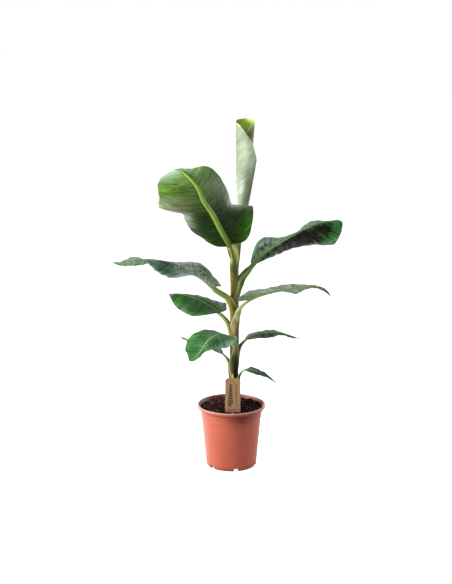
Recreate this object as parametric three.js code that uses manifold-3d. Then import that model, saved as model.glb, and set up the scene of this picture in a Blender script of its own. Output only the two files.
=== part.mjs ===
import * as THREE from "three";
import { mergeVertices } from "three/addons/utils/BufferGeometryUtils.js";
import Module from "manifold-3d";

// A young banana plant in a nursery pot. Sizes in mm, angles in degrees.
// X right, Y away from the viewer, Z up, origin at the middle of the pot's flat underside.
// Headings turn from +X towards +Y, a rise is the angle above level.

// Clearance between pieces that touch
const GAP = 0.3;

// Pot: outside and inside outlines as radius and height, from the floor up
const POT_HEIGHT = 194;
const RIM_RADIUS = 105;
const FOOT_RADIUS = 77.5;
const WALL = 3;
const FLOOR = 3;
const UPPER_RING_HEIGHT = 168;
const LOWER_RING_HEIGHT = 157;
const POT_OUTSIDE = [
  [0, 0],
  [FOOT_RADIUS - 2, 0],
  [FOOT_RADIUS, 3],
  [91.4, LOWER_RING_HEIGHT - 2],
  [93.2, LOWER_RING_HEIGHT - 0.6],
  [92.2, LOWER_RING_HEIGHT + 1],
  [92.8, UPPER_RING_HEIGHT - 1],
  [94.8, UPPER_RING_HEIGHT + 0.4],
  [94.2, UPPER_RING_HEIGHT + 2],
  [95.4, 181],
  [98, 182.4],
  [102.5, 183],
  [RIM_RADIUS, 186.5],
  [RIM_RADIUS, 190],
  [104.3, POT_HEIGHT - 1.2],
  [102.5, POT_HEIGHT],
];
const POT_INSIDE = [
  [100.4, POT_HEIGHT - 1],
  [98.6, 189],
  [93.4, 178],
  [92.4 - WALL, UPPER_RING_HEIGHT],
  [FOOT_RADIUS + 1.2 - WALL, 14],
  [FOOT_RADIUS - 6, 12],
  [FOOT_RADIUS - 15, FLOOR],
  [0, FLOOR],
];
const POT_SIDES = 40;

// Drain notches in the foot of the pot
const NOTCHES = 6;
const NOTCH_WIDTH = 15;
const NOTCH_HEIGHT = 9;
const NOTCH_DEPTH = 6;
const FIRST_NOTCH_HEADING = -79;

// Soil, slightly higher round the stem
const SOIL_LEVEL = 184;
const SOIL_RISE = 3;
const SOIL_RADIUS = 96;

// Stem: height, sideways offset and radius from its foot in the soil to the rolled leaf
const STEM_FOOT = 152;
const STEM_TOP = 742;
const STEM = [
  { height: STEM_FOOT, x: 7, radius: 15 },
  { height: 215, x: 7.2, radius: 14.6 },
  { height: 288, x: 7.6, radius: 14 },
  { height: 360, x: 8.8, radius: 13.9 },
  { height: 432, x: 9.6, radius: 13.6 },
  { height: 520, x: 9.2, radius: 12.8 },
  { height: 618, x: 9.4, radius: 12 },
  { height: 660, x: 13.5, radius: 12.6 },
  { height: 697, x: 18, radius: 11 },
  { height: STEM_TOP, x: 23, radius: 9 },
];
const STEM_SIDES = 16;
const SHEATH_STEP = 0.7;
const SHEATH_SHOWS = 30;

// Tag on its stick
const TAG_WIDTH = 46;
const TAG_HEIGHT = 107;
const TAG_THICKNESS = 1.6;
const TAG_CORNER = 6;
const TAG_X = 4;
const TAG_Y = -84;
const TAG_BOTTOM = 193;
const STICK_WIDTH = 6;
const STICK_THICKNESS = 2.6;
const STICK_FOOT = 128;
const STICK_TOP = 313;

// Blades
const ROW_LENGTH = 16;
const FEWEST_ROWS = 10;
const MOST_ROWS = 20;
const BLADE_COLUMNS = 4;
const SHEET_SHARE = 0.0105;
const LEAST_SHEET = 1.6;
const LEAST_EDGE = 0.4;
const WAVES = 2;
const ROW_CROWDING = 0.6;
const RIB_TIP = 0.8;
const KEEL_SHARE = 1.5;
const LEAST_KEEL = 1.2;
const LOBE_BEND = 1.5;
const LOBE_FADE = 6;
const FLAT_CURL = 1e-4;
const RIB_TAPER = 0.8;
const STALK_TAPER = 1.6;
const STALK_ROWS = 9;
const STALK_SIDES = 8;
const PATH_STEPS = 120;

// Leaves from the lowest to the highest. base is the height on the stem's axis where the leaf's line starts,
// sheath the height above it where the leaf parts from the stem, then the lengths of stalk and blade, the
// roll of the blade about its rib, the stalk's radius at both ends, and heading and rise along the whole line.
// Each half of a blade has its width, the shape of its outline towards base and tip, how far it reaches along
// the rib as a share of that outline, its tilt and curl from base to tip, the height and phase of its margin's
// wave, the margin's sweep towards the tip and the lobe beside the stalk, both as a share of the width.
const LEAVES = {
  leaf_01: {
    base: 248,
    sheath: 14,
    stalk: 73,
    blade: 117,
    roll: 0,
    stalkRadius: [4.5, 2.2],
    heading: [-24, -37, -30, -28, -21],
    rise: [60, 61, 1, -23, -32],
    right: {
      width: 12,
      outline: [0.6, 1.2],
      reach: [1, 1],
      tilt: [-72, -59, -32, 0],
      curl: [0, 85],
      wave: [0.6, 0.88],
      sweep: [0.3, 0.3],
      lobe: 0.2,
    },
    left: {
      width: 21,
      outline: [0.3, 1.3],
      reach: [1, 1],
      tilt: [7, -7, -19, 6],
      curl: [-21, 71],
      wave: [1.7, 0],
      sweep: [-0.3, -0.3],
      lobe: 0,
    },
  },
  leaf_02: {
    base: 293,
    sheath: 16,
    stalk: 69,
    blade: 170,
    roll: 0,
    stalkRadius: [5, 2.5],
    heading: [165, 139, 142, 145, 152],
    rise: [73, 36, 4, 8, 11],
    right: {
      width: 15,
      outline: [0.55, 0.8],
      reach: [1, 1],
      tilt: [20, 15, 15],
      curl: [-15, -15],
      wave: [2, 0.1],
      sweep: [0.1, 0.1],
      lobe: 0,
    },
    left: {
      width: 15,
      outline: [0.55, 0.8],
      reach: [1, 1],
      tilt: [10, 5, 0],
      curl: [-20, -10],
      wave: [2, 0.6],
      sweep: [0.1, 0.1],
      lobe: 0,
    },
  },
  leaf_03: {
    base: 336,
    sheath: 18,
    stalk: 74,
    blade: 188,
    roll: 0,
    stalkRadius: [5.5, 2.8],
    heading: [37, 36, 20, 19, 11],
    rise: [61, 38, 0, -13, -30],
    right: {
      width: 18,
      outline: [0.56, 1.0],
      reach: [1, 1],
      tilt: [-59, -47, -26, -31],
      curl: [-15, 41],
      wave: [3.9, 0.12],
      sweep: [0.3, 0.3],
      lobe: 0,
    },
    left: {
      width: 19,
      outline: [0.61, 1.06],
      reach: [1, 1],
      tilt: [20, 13, 16, 1],
      curl: [-37, -15],
      wave: [2.6, 0.19],
      sweep: [-0.3, -0.3],
      lobe: 0.2,
    },
  },
  leaf_04: {
    base: 335,
    sheath: 18,
    stalk: 110,
    blade: 205,
    roll: 0,
    stalkRadius: [6.5, 3.4],
    heading: [-62, -90, -119, -129, -134, -146, -164],
    rise: [54, 55, 36, 20, -15, -50, -19],
    right: {
      width: 60,
      outline: [0.95, 0.7],
      reach: [0.95, 1.05, 0.85, 0.85, 1, 1.1, 1.05, 1.1, 0.6],
      tilt: [16, 1, 6, 3, 6, 10],
      curl: [9, 18, 10, 12],
      wave: [1.8, 0.8],
      sweep: [0.4, 0.4, 0.25, 0.25],
      lobe: 0.4,
    },
    left: {
      width: 55,
      outline: [0.7, 0.96],
      reach: [0.7, 0.5, 1, 1.4, 1.15, 0.85, 0.7, 0.85, 1],
      tilt: [-30, -17, -14, -9, 18, 25],
      curl: [-17, 11, -24, -18],
      wave: [7.4, 0.8],
      sweep: [0.35, 0.1, 0.25, 0.2],
      lobe: 0.4,
    },
  },
  leaf_05: {
    base: 393,
    sheath: 24,
    stalk: 101,
    blade: 184,
    roll: 0,
    stalkRadius: [7, 4.2],
    heading: [129, 146, 150, 151, 159, 166],
    rise: [71, 58, 25, 22, 5, -4],
    right: {
      width: 58,
      outline: [0.7, 0.85],
      reach: [1.15, 1.05, 1.3, 1.1, 0.95, 0.8, 0.65, 0.95, 1.15],
      tilt: [13, 11, 3, 0, -4, -10],
      curl: [4, -15, -17, 0],
      wave: [0.5, 0],
      sweep: [-0.3, -0.25, -0.3, 0.05],
      lobe: 0.5,
    },
    left: {
      width: 58,
      outline: [0.7, 0.85],
      reach: [1.25, 1.05, 1.1, 1, 0.95, 0.95, 1, 1, 0.9],
      tilt: [-22, -42, -51, -54, -42, -54],
      curl: [-24, -14, -18, 4],
      wave: [1.5, 0.5],
      sweep: [0.4, 0.35, 0.3, 0.2],
      lobe: 0,
    },
  },
  leaf_06: {
    base: 447,
    sheath: 26,
    stalk: 98,
    blade: 270,
    roll: 0,
    stalkRadius: [8, 4.8],
    heading: [-83, -28, -18, -17, -14, -13, -16],
    rise: [77, 54, 26, 14, 9, -1, -61],
    right: {
      width: 40,
      outline: [0.3, 1.04],
      reach: [1.1, 1.1, 1.4, 1.2, 1.1, 0.95, 0.95, 0.75, 0.85],
      tilt: [24, 32, 25, 26, 21, 26],
      curl: [1, -10, 25, 38],
      wave: [1.4, 0.3],
      sweep: [-0.35, -0.5, -0.15, 0],
      lobe: 0.5,
    },
    left: {
      width: 44,
      outline: [0.33, 1.3],
      reach: [0.6, 0.6, 0.9, 0.55, 1.15, 0.9, 1.2, 1.25, 1.1],
      tilt: [-3, -4, -21, -23, -23, -16],
      curl: [-37, -21, -31, -48],
      wave: [5.1, 0.75],
      sweep: [0.6, 0.5, 0.25, -0.1],
      lobe: 0,
    },
  },
  leaf_07: {
    base: 478,
    sheath: 30,
    stalk: 119,
    blade: 337,
    roll: 0,
    stalkRadius: [9, 5.5],
    heading: [-114, -150, -160, -162, -165, -163, -174],
    rise: [80, 44, 38, 23, 18, -4, -1],
    right: {
      width: 78,
      outline: [0.3, 0.83],
      reach: [0.95, 0.8, 1.1, 0.95, 1.05, 0.9, 0.95, 0.85, 1.3],
      tilt: [32, 33, 18, 0, -23, -44],
      curl: [-21, -18, -28, -50],
      wave: [0.6, 0.75],
      sweep: [-0.5, -0.3, -0.3, -0.3],
      lobe: 0.5,
    },
    left: {
      width: 74,
      outline: [0.95, 1.17],
      reach: [0.75, 0.9, 1, 1.4, 1.2, 1.15, 1.05, 1.1, 0.9],
      tilt: [-23, -20, -20, -6, 11, -2],
      curl: [24, 2, -6, 28],
      wave: [8.7, 0.7],
      sweep: [0.25, 0.4, 0.4, 0.25],
      lobe: 0,
    },
  },
  leaf_08: {
    base: 507,
    sheath: 40,
    stalk: 137,
    blade: 319,
    roll: 0,
    stalkRadius: [9.5, 6],
    heading: [30, 20, 20, 24, 23, 20, 14],
    rise: [84, 65, 40, 26, 23, 15, 1],
    right: {
      width: 78,
      outline: [0.78, 0.44],
      reach: [1.1, 0.7, 0.65, 0.65, 0.75, 0.8, 1.05, 0.9, 0.65],
      tilt: [-80, -77, -77, -66, -34, -4],
      curl: [-42, -70, -48, -2],
      wave: [2.3, 0.7],
      sweep: [0.15, 0.15, 0.35, 0.5],
      lobe: 0.1,
    },
    left: {
      width: 69,
      outline: [0.61, 0.43],
      reach: [0.7, 1.15, 1.05, 0.85, 0.9, 0.75, 0.8, 0.95, 0.6],
      tilt: [43, 36, 9, -11, -11, -11],
      curl: [-15, -32, 6, 3],
      wave: [8.2, 0.7],
      sweep: [0.3, 0.2, 0.1, 0.05],
      lobe: 0.15,
    },
  },
  leaf_09: {
    base: 560,
    sheath: 44,
    stalk: 152,
    blade: 334,
    roll: 70,
    stalkRadius: [11, 7.5],
    heading: [-94, -107, -120, -129, -140, -138, -136, -225, -243],
    rise: [64, 65, 69, 53, 59, 49, 61, 28, -14],
    right: {
      width: 117,
      outline: [0.3, 0.45],
      reach: [0.65, 0.6, 0.7, 0.65, 0.55, 1, 0.95, 0.95, 0.85, 0.9, 1.2],
      tilt: [41, 34, 25, 22, 14, 3, -6],
      curl: [36, 29, 24, 9, -7],
      wave: [0, 0],
      sweep: [0.4, 0.4, 0.55, 0.35, 0.5, 0.1],
      lobe: 0.4,
    },
    left: {
      width: 96,
      outline: [0.3, 0.9],
      reach: [0.8, 0.95, 1.2, 0.7, 0.9, 1, 1.1, 1.1, 0.95, 0.7, 1.2],
      tilt: [-26, -16, 4, 11, 4, 4, 6],
      curl: [-30, 13, -12, 8, 13],
      wave: [4, 0.4],
      sweep: [0, 0.05, 0, 0.05, 0.15, -0.2],
      lobe: 0.25,
    },
  },
};

// Rolled youngest leaf: height, sideways offset and radius
const ROLL = [
  { height: STEM_TOP + GAP, x: 23, radius: 9 },
  { height: 775, x: 27.5, radius: 13.8 },
  { height: 808, x: 31.8, radius: 18.2 },
  { height: 850, x: 35.8, radius: 22.4 },
  { height: 894, x: 39.6, radius: 26.3 },
  { height: 942, x: 43.6, radius: 30.4 },
  { height: 1000, x: 42.4, radius: 29.8 },
  { height: 1066, x: 41.3, radius: 29.1 },
];
const ROLL_WALL = 3.6;
const ROLL_FLOOR = 900;
const ROLL_TOP = 1057;
const ROLL_CROWN = 8;
const ROLL_CROWN_HEADING = 100;
const ROLL_SLANT = 72;
const ROLL_NOTCH_HEADING = 338;
const ROLL_NOTCH_HEIGHT = 992;
const ROLL_NOTCH_WIDTH = 24;
const ROLL_DENT = 9;
const ROLL_DENT_HEADING = ROLL_NOTCH_HEADING + 14;
const ROLL_DENT_WIDTH = 26;
const ROLL_DENT_HEIGHT = 20;
const ROLL_SIDES = 26;
const ROLL_ROWS = 10;
const ROLL_INNER_ROWS = 3;

const manifold = await Module();
manifold.setup();

const radians = THREE.MathUtils.degToRad;
const UP = new THREE.Vector3(0, 0, 1);

// Smooth curve through values spaced evenly over 0 to 1
function smooth(values, share) {
  const last = values.length - 1;
  const value = (i) => {
    if (i < 0) return 2 * values[0] - values[1];
    if (i > last) return 2 * values[last] - values[last - 1];
    return values[i];
  };
  const x = THREE.MathUtils.clamp(share, 0, 1) * last;
  const i = Math.min(Math.floor(x), last - 1);
  const f = x - i;
  const [a, b, c, d] = [value(i - 1), value(i), value(i + 1), value(i + 2)];
  const cubic = 3 * b - a - 3 * c + d;
  return 0.5 * (2 * b + (c - a) * f + (2 * a - 5 * b + 4 * c - d) * f ** 2 + cubic * f ** 3);
}

// Straight lines between values spaced evenly over 0 to 1
function between(values, share) {
  const x = THREE.MathUtils.clamp(share, 0, 1) * (values.length - 1);
  const i = Math.min(Math.floor(x), values.length - 2);
  return THREE.MathUtils.lerp(values[i], values[i + 1], x - i);
}

// Sideways offset and radius at a height, from a table such as STEM
function sectionAt(table, height) {
  let i = 1;
  while (i < table.length - 1 && table[i].height < height) i += 1;
  const below = table[i - 1];
  const above = table[i];
  const f = (height - below.height) / (above.height - below.height);
  return {
    x: THREE.MathUtils.lerp(below.x, above.x, f),
    radius: THREE.MathUtils.lerp(below.radius, above.radius, f),
  };
}

// Closed geometry through rings of equally many points, with a flat strip over each end
function loft(rings) {
  const count = rings[0].length;
  const index = [];
  const quad = (a, b, c, d) => index.push(a, b, c, a, c, d);
  for (let row = 0; row < rings.length - 1; row += 1) {
    for (let i = 0; i < count; i += 1) {
      const next = (i + 1) % count;
      const here = row * count;
      const above = here + count;
      quad(here + i, here + next, above + next, above + i);
    }
  }
  const last = (rings.length - 1) * count;
  for (let i = 0; i < count / 2 - 1; i += 1) {
    const far = count - 1 - i;
    quad(far, far - 1, i + 1, i);
    quad(last + i, last + i + 1, last + far - 1, last + far);
  }
  const geometry = new THREE.BufferGeometry().setFromPoints(rings.flat());
  geometry.setIndex(index);
  return faceOut(geometry);
}

// Turns the faces round where the geometry is inside out
function faceOut(geometry) {
  const index = geometry.getIndex().array;
  const place = geometry.getAttribute("position");
  const [a, b, c] = [new THREE.Vector3(), new THREE.Vector3(), new THREE.Vector3()];
  let volume = 0;
  for (let i = 0; i < index.length; i += 3) {
    a.fromBufferAttribute(place, index[i]);
    b.fromBufferAttribute(place, index[i + 1]);
    c.fromBufferAttribute(place, index[i + 2]);
    volume += a.dot(b.cross(c));
  }
  if (volume < 0) {
    for (let i = 0; i < index.length; i += 3) {
      [index[i + 1], index[i + 2]] = [index[i + 2], index[i + 1]];
    }
  }
  return geometry;
}

function solidOf(geometry) {
  const bare = new THREE.BufferGeometry();
  bare.setAttribute("position", geometry.getAttribute("position"));
  bare.setIndex(geometry.getIndex());
  const merged = mergeVertices(bare, 1e-3);
  return new manifold.Manifold(
    new manifold.Mesh({
      numProp: 3,
      vertProperties: merged.getAttribute("position").array,
      triVerts: new Uint32Array(merged.getIndex().array),
    }),
  );
}

function geometryOf(solid) {
  const mesh = solid.getMesh();
  const geometry = new THREE.BufferGeometry();
  const points = new Float32Array(mesh.numVert * 3);
  for (let i = 0; i < mesh.numVert; i += 1) {
    points.set(mesh.vertProperties.slice(i * mesh.numProp, i * mesh.numProp + 3), i * 3);
  }
  geometry.setAttribute("position", new THREE.BufferAttribute(points, 3));
  geometry.setIndex(Array.from(mesh.triVerts));
  return geometry;
}

// The first geometry with the others cut out of it, and only its largest piece kept
function cut(geometry, ...tools) {
  let solid = solidOf(geometry);
  for (const tool of tools) solid = solid.subtract(solidOf(tool));
  const pieces = solid.decompose().sort((a, b) => b.volume() - a.volume());
  return geometryOf(pieces[0]);
}

// Circle of points round a place, spanned by two directions
function circle(middle, across, along, sides) {
  return Array.from({ length: sides }, (_, i) => {
    const turn = ((i + 0.5) / sides) * 2 * Math.PI;
    return middle
      .clone()
      .addScaledVector(across, Math.cos(turn))
      .addScaledVector(along, Math.sin(turn));
  });
}

function box(width, depth, height, x, y, bottom) {
  const geometry = new THREE.BoxGeometry(width, depth, height);
  return geometry.translate(x, y, bottom + height / 2);
}

function pot() {
  const outline = [...POT_OUTSIDE, ...POT_INSIDE].map(([r, z]) => new THREE.Vector2(r, z));
  const body = new THREE.LatheGeometry(outline, POT_SIDES).rotateX(Math.PI / 2);
  const reach = 2 * NOTCH_DEPTH;
  const notches = Array.from({ length: NOTCHES }, (_, i) => {
    const heading = radians(FIRST_NOTCH_HEADING + (i * 360) / NOTCHES);
    const middle = FOOT_RADIUS - NOTCH_DEPTH + reach / 2;
    const notch = box(reach, NOTCH_WIDTH, 2 * NOTCH_HEIGHT, middle, 0, -NOTCH_HEIGHT);
    return notch.rotateZ(heading);
  });
  return cut(faceOut(body), ...notches);
}

function soil() {
  const inside = POT_INSIDE.slice(3, -1).map(([r, z]) => [r - GAP, z + GAP]);
  const wall = inside.reverse();
  const outline = [
    [0, FLOOR + GAP],
    ...wall,
    [92.6, 178],
    [SOIL_RADIUS - 1, SOIL_LEVEL - 1],
    [SOIL_RADIUS - 8, SOIL_LEVEL],
    [40, SOIL_LEVEL + SOIL_RISE],
    [0, SOIL_LEVEL + SOIL_RISE],
  ].map(([r, z]) => new THREE.Vector2(r, z));
  const body = new THREE.LatheGeometry(outline, POT_SIDES).rotateX(Math.PI / 2);
  return cut(faceOut(body), stem(GAP), stick(GAP));
}

// Stem, or the room it takes with a clearance round it
function stem(clearance = 0) {
  const heights = STEM.map((section) => section.height);
  for (const leaf of Object.values(LEAVES)) {
    heights.push(leaf.base + leaf.sheath, leaf.base + leaf.sheath + 2);
  }
  heights.sort((a, b) => a - b);
  const rings = heights.map((height) => {
    const { x, radius } = sectionAt(STEM, height);
    const step = sheathStep(height) + clearance;
    const ends = { [STEM_FOOT]: -clearance, [STEM_TOP]: clearance };
    const middle = new THREE.Vector3(x, 0, height + (ends[height] ?? 0));
    const across = new THREE.Vector3(radius + step, 0, 0);
    const along = new THREE.Vector3(0, radius + step, 0);
    return circle(middle, across, along, STEM_SIDES);
  });
  return loft(rings);
}

// Thickness of the last sheath below a height: full under its edge, gone above it
function sheathStep(height) {
  const edges = Object.values(LEAVES).map((leaf) => leaf.base + leaf.sheath);
  return edges.some((edge) => height <= edge && height > edge - SHEATH_SHOWS) ? SHEATH_STEP : 0;
}

function stick(clearance = 0) {
  const height = STICK_TOP - STICK_FOOT;
  const y = TAG_Y + TAG_THICKNESS / 2 + GAP + STICK_THICKNESS / 2;
  const room = 2 * clearance;
  return box(
    STICK_WIDTH + room,
    STICK_THICKNESS + room,
    height + room,
    TAG_X,
    y,
    STICK_FOOT - clearance,
  );
}

function tag() {
  const half = TAG_WIDTH / 2;
  const outline = new THREE.Shape([
    new THREE.Vector2(-half, 0),
    new THREE.Vector2(half, 0),
    new THREE.Vector2(half, TAG_HEIGHT - TAG_CORNER),
    new THREE.Vector2(half - TAG_CORNER, TAG_HEIGHT),
    new THREE.Vector2(TAG_CORNER - half, TAG_HEIGHT),
    new THREE.Vector2(-half, TAG_HEIGHT - TAG_CORNER),
  ]);
  const plate = new THREE.ExtrudeGeometry(outline, { depth: TAG_THICKNESS, bevelEnabled: false });
  return plate.rotateX(Math.PI / 2).translate(TAG_X, TAG_Y + TAG_THICKNESS / 2, TAG_BOTTOM);
}

// Line of a leaf from the stem's axis through its stalk to the tip, with a frame at every step
function leafLine(leaf) {
  const start = new THREE.Vector3(sectionAt(STEM, leaf.base).x, 0, leaf.base);
  const step = (leaf.stalk + leaf.blade) / PATH_STEPS;
  const places = [start];
  const forward = [];
  for (let i = 0; i < PATH_STEPS; i += 1) {
    const share = (i + 0.5) / PATH_STEPS;
    const heading = radians(smooth(leaf.heading, share));
    const rise = radians(smooth(leaf.rise, share));
    const way = new THREE.Vector3(
      Math.cos(rise) * Math.cos(heading),
      Math.cos(rise) * Math.sin(heading),
      Math.sin(rise),
    );
    forward.push(way);
    places.push(places[i].clone().addScaledVector(way, step));
  }
  forward.push(forward[PATH_STEPS - 1].clone());
  const joint = (leaf.stalk / (leaf.stalk + leaf.blade)) * PATH_STEPS;
  const sideways = [];
  const first = Math.floor(joint);
  const level = forward[first].clone().cross(UP).normalize();
  const carry = (from, to, direction) => {
    const side = level.clone();
    for (let i = from; i !== to; i += direction) {
      side.addScaledVector(forward[i], -side.dot(forward[i])).normalize();
      sideways[i] = side.clone();
    }
  };
  carry(first, PATH_STEPS + 1, 1);
  carry(first, -1, -1);
  sideways.forEach((side, i) => side.applyAxisAngle(forward[i], radians(leaf.roll)));
  return { places, forward, sideways, joint };
}

// Place and directions a number of steps along a leaf's line
function frameAt(line, steps) {
  const i = Math.min(Math.floor(steps), PATH_STEPS - 1);
  const partway = (list) => list[i].clone().lerp(list[i + 1], steps - i);
  const forward = partway(line.forward).normalize();
  const sideways = partway(line.sideways).normalize();
  const normal = sideways.clone().cross(forward);
  return { place: partway(line.places), forward, sideways, normal };
}

// Width of a blade half as a share of its widest, from base to tip
function outline(share, [base, tip]) {
  const widest = base / (base + tip);
  return (share ** base * (1 - share) ** tip) / (widest ** base * (1 - widest) ** tip);
}

function stalk(leaf) {
  const line = leafLine(leaf);
  const step = (leaf.stalk + leaf.blade) / PATH_STEPS;
  const end = line.joint - GAP / step;
  const [wide, slim] = leaf.stalkRadius;
  const rings = [];
  for (let row = 0; row <= STALK_ROWS; row += 1) {
    const share = row / STALK_ROWS;
    const frame = frameAt(line, end * share);
    const radius = THREE.MathUtils.lerp(wide, slim, share ** STALK_TAPER);
    const middle = frame.place.clone().addScaledVector(frame.normal, -radius);
    const across = frame.sideways.clone().multiplyScalar(radius);
    const along = frame.normal.clone().multiplyScalar(radius);
    rings.push(circle(middle, across, along, STALK_SIDES));
  }
  return cut(loft(rings), stem(GAP));
}

function blade(leaf) {
  const line = leafLine(leaf);
  const sheet = Math.max(LEAST_SHEET, SHEET_SHARE * leaf.blade);
  const rows = THREE.MathUtils.clamp(Math.round(leaf.blade / ROW_LENGTH), FEWEST_ROWS, MOST_ROWS);
  const rings = [];
  for (let row = 0; row <= rows; row += 1) {
    const even = row / rows;
    const share = even - (ROW_CROWDING * Math.sin(2 * Math.PI * even)) / (2 * Math.PI);
    const steps = line.joint + (PATH_STEPS - line.joint) * share;
    rings.push(bladeRing(leaf, frameAt(line, steps), share, sheet));
  }
  return loft(rings);
}

// Ring of points round a blade: its upper side from left margin to right, then its lower side back
function bladeRing(leaf, frame, share, sheet) {
  const rib = THREE.MathUtils.lerp(leaf.stalkRadius[1], RIB_TIP, share ** RIB_TAPER);
  const halves = [leaf.left, leaf.right].map((half, i) =>
    halfSection(leaf, half, i === 0 ? -1 : 1, frame, share, sheet, rib),
  );
  const [left, right] = halves;
  const keel = Math.max(2 * rib, sheet * LEAST_KEEL);
  const middle = {
    upper: frame.place,
    lower: frame.place.clone().addScaledVector(frame.normal, -keel),
  };
  const columns = [...left.reverse(), middle, ...right];
  return [
    ...columns.map((column) => column.upper),
    ...columns.map((column) => column.lower).reverse(),
  ];
}

// Upper and lower points of one half from beside the rib out to the margin
function halfSection(leaf, half, side, frame, share, sheet, rib) {
  const tilt = radians(smooth(half.tilt, share));
  const curl = radians(smooth(half.curl, share)) || FLAT_CURL;
  const width = half.width * outline(share, half.outline) * between(half.reach, share);
  const [height, phase] = half.wave;
  const swell = outline(share, [0.4, 0.4]) * Math.sin(2 * Math.PI * (WAVES * share + phase));
  return Array.from({ length: BLADE_COLUMNS }, (_, i) => {
    const out = i / (BLADE_COLUMNS - 1);
    const slope = tilt + curl * out;
    const wave = height * out ** 2 * swell;
    const arc = (width / curl) * (Math.sin(slope) - Math.sin(tilt));
    const x = rib + LEAST_EDGE * out + arc - wave * Math.sin(slope);
    const y = (width / curl) * (Math.cos(tilt) - Math.cos(slope)) + wave * Math.cos(slope);
    const lobe = half.lobe * out ** LOBE_BEND * (1 - share) ** LOBE_FADE;
    const along = width * (between(half.sweep, share) * out - lobe);
    const upper = frame.place
      .clone()
      .addScaledVector(frame.sideways, side * x)
      .addScaledVector(frame.normal, y)
      .addScaledVector(frame.forward, along);
    const depth = i === 0 ? Math.max(sheet, rib * KEEL_SHARE) : sheet;
    const lower = upper
      .clone()
      .addScaledVector(frame.sideways, side * Math.sin(slope) * depth)
      .addScaledVector(frame.normal, -Math.cos(slope) * depth);
    return { upper, lower };
  });
}

// Height of the rolled leaf's rim: level at the back, slanting down across the front to a notch
function rollRim(heading) {
  const fromLeft = (heading + 180) % 360;
  const slant = ROLL_NOTCH_HEADING - 180;
  const down = fromLeft < slant ? fromLeft / slant : Math.max(0, 1 - (fromLeft - slant) / ROLL_NOTCH_WIDTH);
  return ROLL_TOP + ROLL_CROWN * Math.cos(radians(heading - ROLL_CROWN_HEADING)) - ROLL_SLANT * down;
}

// Point on the rolled leaf, a depth inside its outer face
function rollPoint(heading, height, depth) {
  const { x, radius } = sectionAt(ROLL, height);
  const fromNotch = (heading - ROLL_DENT_HEADING) / ROLL_DENT_WIDTH;
  const above = (height - ROLL_NOTCH_HEIGHT) / ROLL_DENT_HEIGHT;
  const dent = ROLL_DENT * Math.exp(-(fromNotch ** 2) - above ** 2);
  const reach = radius - dent - depth;
  const turn = radians(heading);
  return new THREE.Vector3(x + reach * Math.cos(turn), reach * Math.sin(turn), height);
}

function rolledLeaf() {
  const columns = Array.from({ length: ROLL_SIDES }, (_, i) => {
    const heading = (i * 360) / ROLL_SIDES;
    const rim = rollRim(heading);
    const column = [];
    for (let row = 0; row <= ROLL_ROWS; row += 1) {
      const height = THREE.MathUtils.lerp(ROLL[0].height, rim, row / ROLL_ROWS);
      column.push(rollPoint(heading, height, 0));
    }
    for (let row = 0; row <= ROLL_INNER_ROWS; row += 1) {
      const height = THREE.MathUtils.lerp(rim, ROLL_FLOOR, row / ROLL_INNER_ROWS);
      column.push(rollPoint(heading, height, ROLL_WALL));
    }
    return column;
  });
  const rows = columns[0].map((_, row) => columns.map((column) => column[row]));
  const count = ROLL_SIDES;
  const points = rows.flat();
  const index = [];
  for (let row = 0; row < rows.length - 1; row += 1) {
    for (let i = 0; i < count; i += 1) {
      const next = (i + 1) % count;
      const here = row * count;
      const above = here + count;
      index.push(here + i, here + next, above + next, here + i, above + next, above + i);
    }
  }
  const last = (rows.length - 1) * count;
  const floor = sectionAt(ROLL, ROLL_FLOOR);
  points.push(new THREE.Vector3(ROLL[0].x, 0, ROLL[0].height));
  points.push(new THREE.Vector3(floor.x, 0, ROLL_FLOOR));
  for (let i = 0; i < count; i += 1) {
    const next = (i + 1) % count;
    index.push(points.length - 2, next, i);
    index.push(points.length - 1, last + i, last + next);
  }
  const geometry = new THREE.BufferGeometry().setFromPoints(points);
  geometry.setIndex(index);
  return faceOut(geometry);
}

const MATERIALS = {
  terracotta: { color: 0xc46a52, roughness: 0.5, metalness: 0 },
  soil: { color: 0x33211a, roughness: 0.95, metalness: 0 },
  stem: { color: 0x7d7a3a, roughness: 0.55, metalness: 0 },
  stalk: { color: 0x8aa05a, roughness: 0.45, metalness: 0 },
  leaf: { color: 0x2f6b36, roughness: 0.4, metalness: 0 },
  kraft: { color: 0xa27a4c, roughness: 0.85, metalness: 0 },
  wood: { color: 0xd8c49a, roughness: 0.8, metalness: 0 },
};

const plant = new THREE.Group();

function add(name, geometry, material) {
  const mesh = new THREE.Mesh(geometry, new THREE.MeshStandardMaterial(MATERIALS[material]));
  mesh.name = name;
  mesh.geometry.computeVertexNormals();
  plant.add(mesh);
}

add("pot", pot(), "terracotta");
add("potting_soil", soil(), "soil");
add("pseudostem", stem(), "stem");
for (const [name, leaf] of Object.entries(LEAVES)) {
  add(`${name}_stalk`, stalk(leaf), "stalk");
  add(`${name}_blade`, blade(leaf), "leaf");
}
add("leaf_10_rolled", rolledLeaf(), "leaf");
add("label_stick", stick(), "wood");
add("label_tag", tag(), "kraft");

export default plant;
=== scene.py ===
import math
import random

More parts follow.
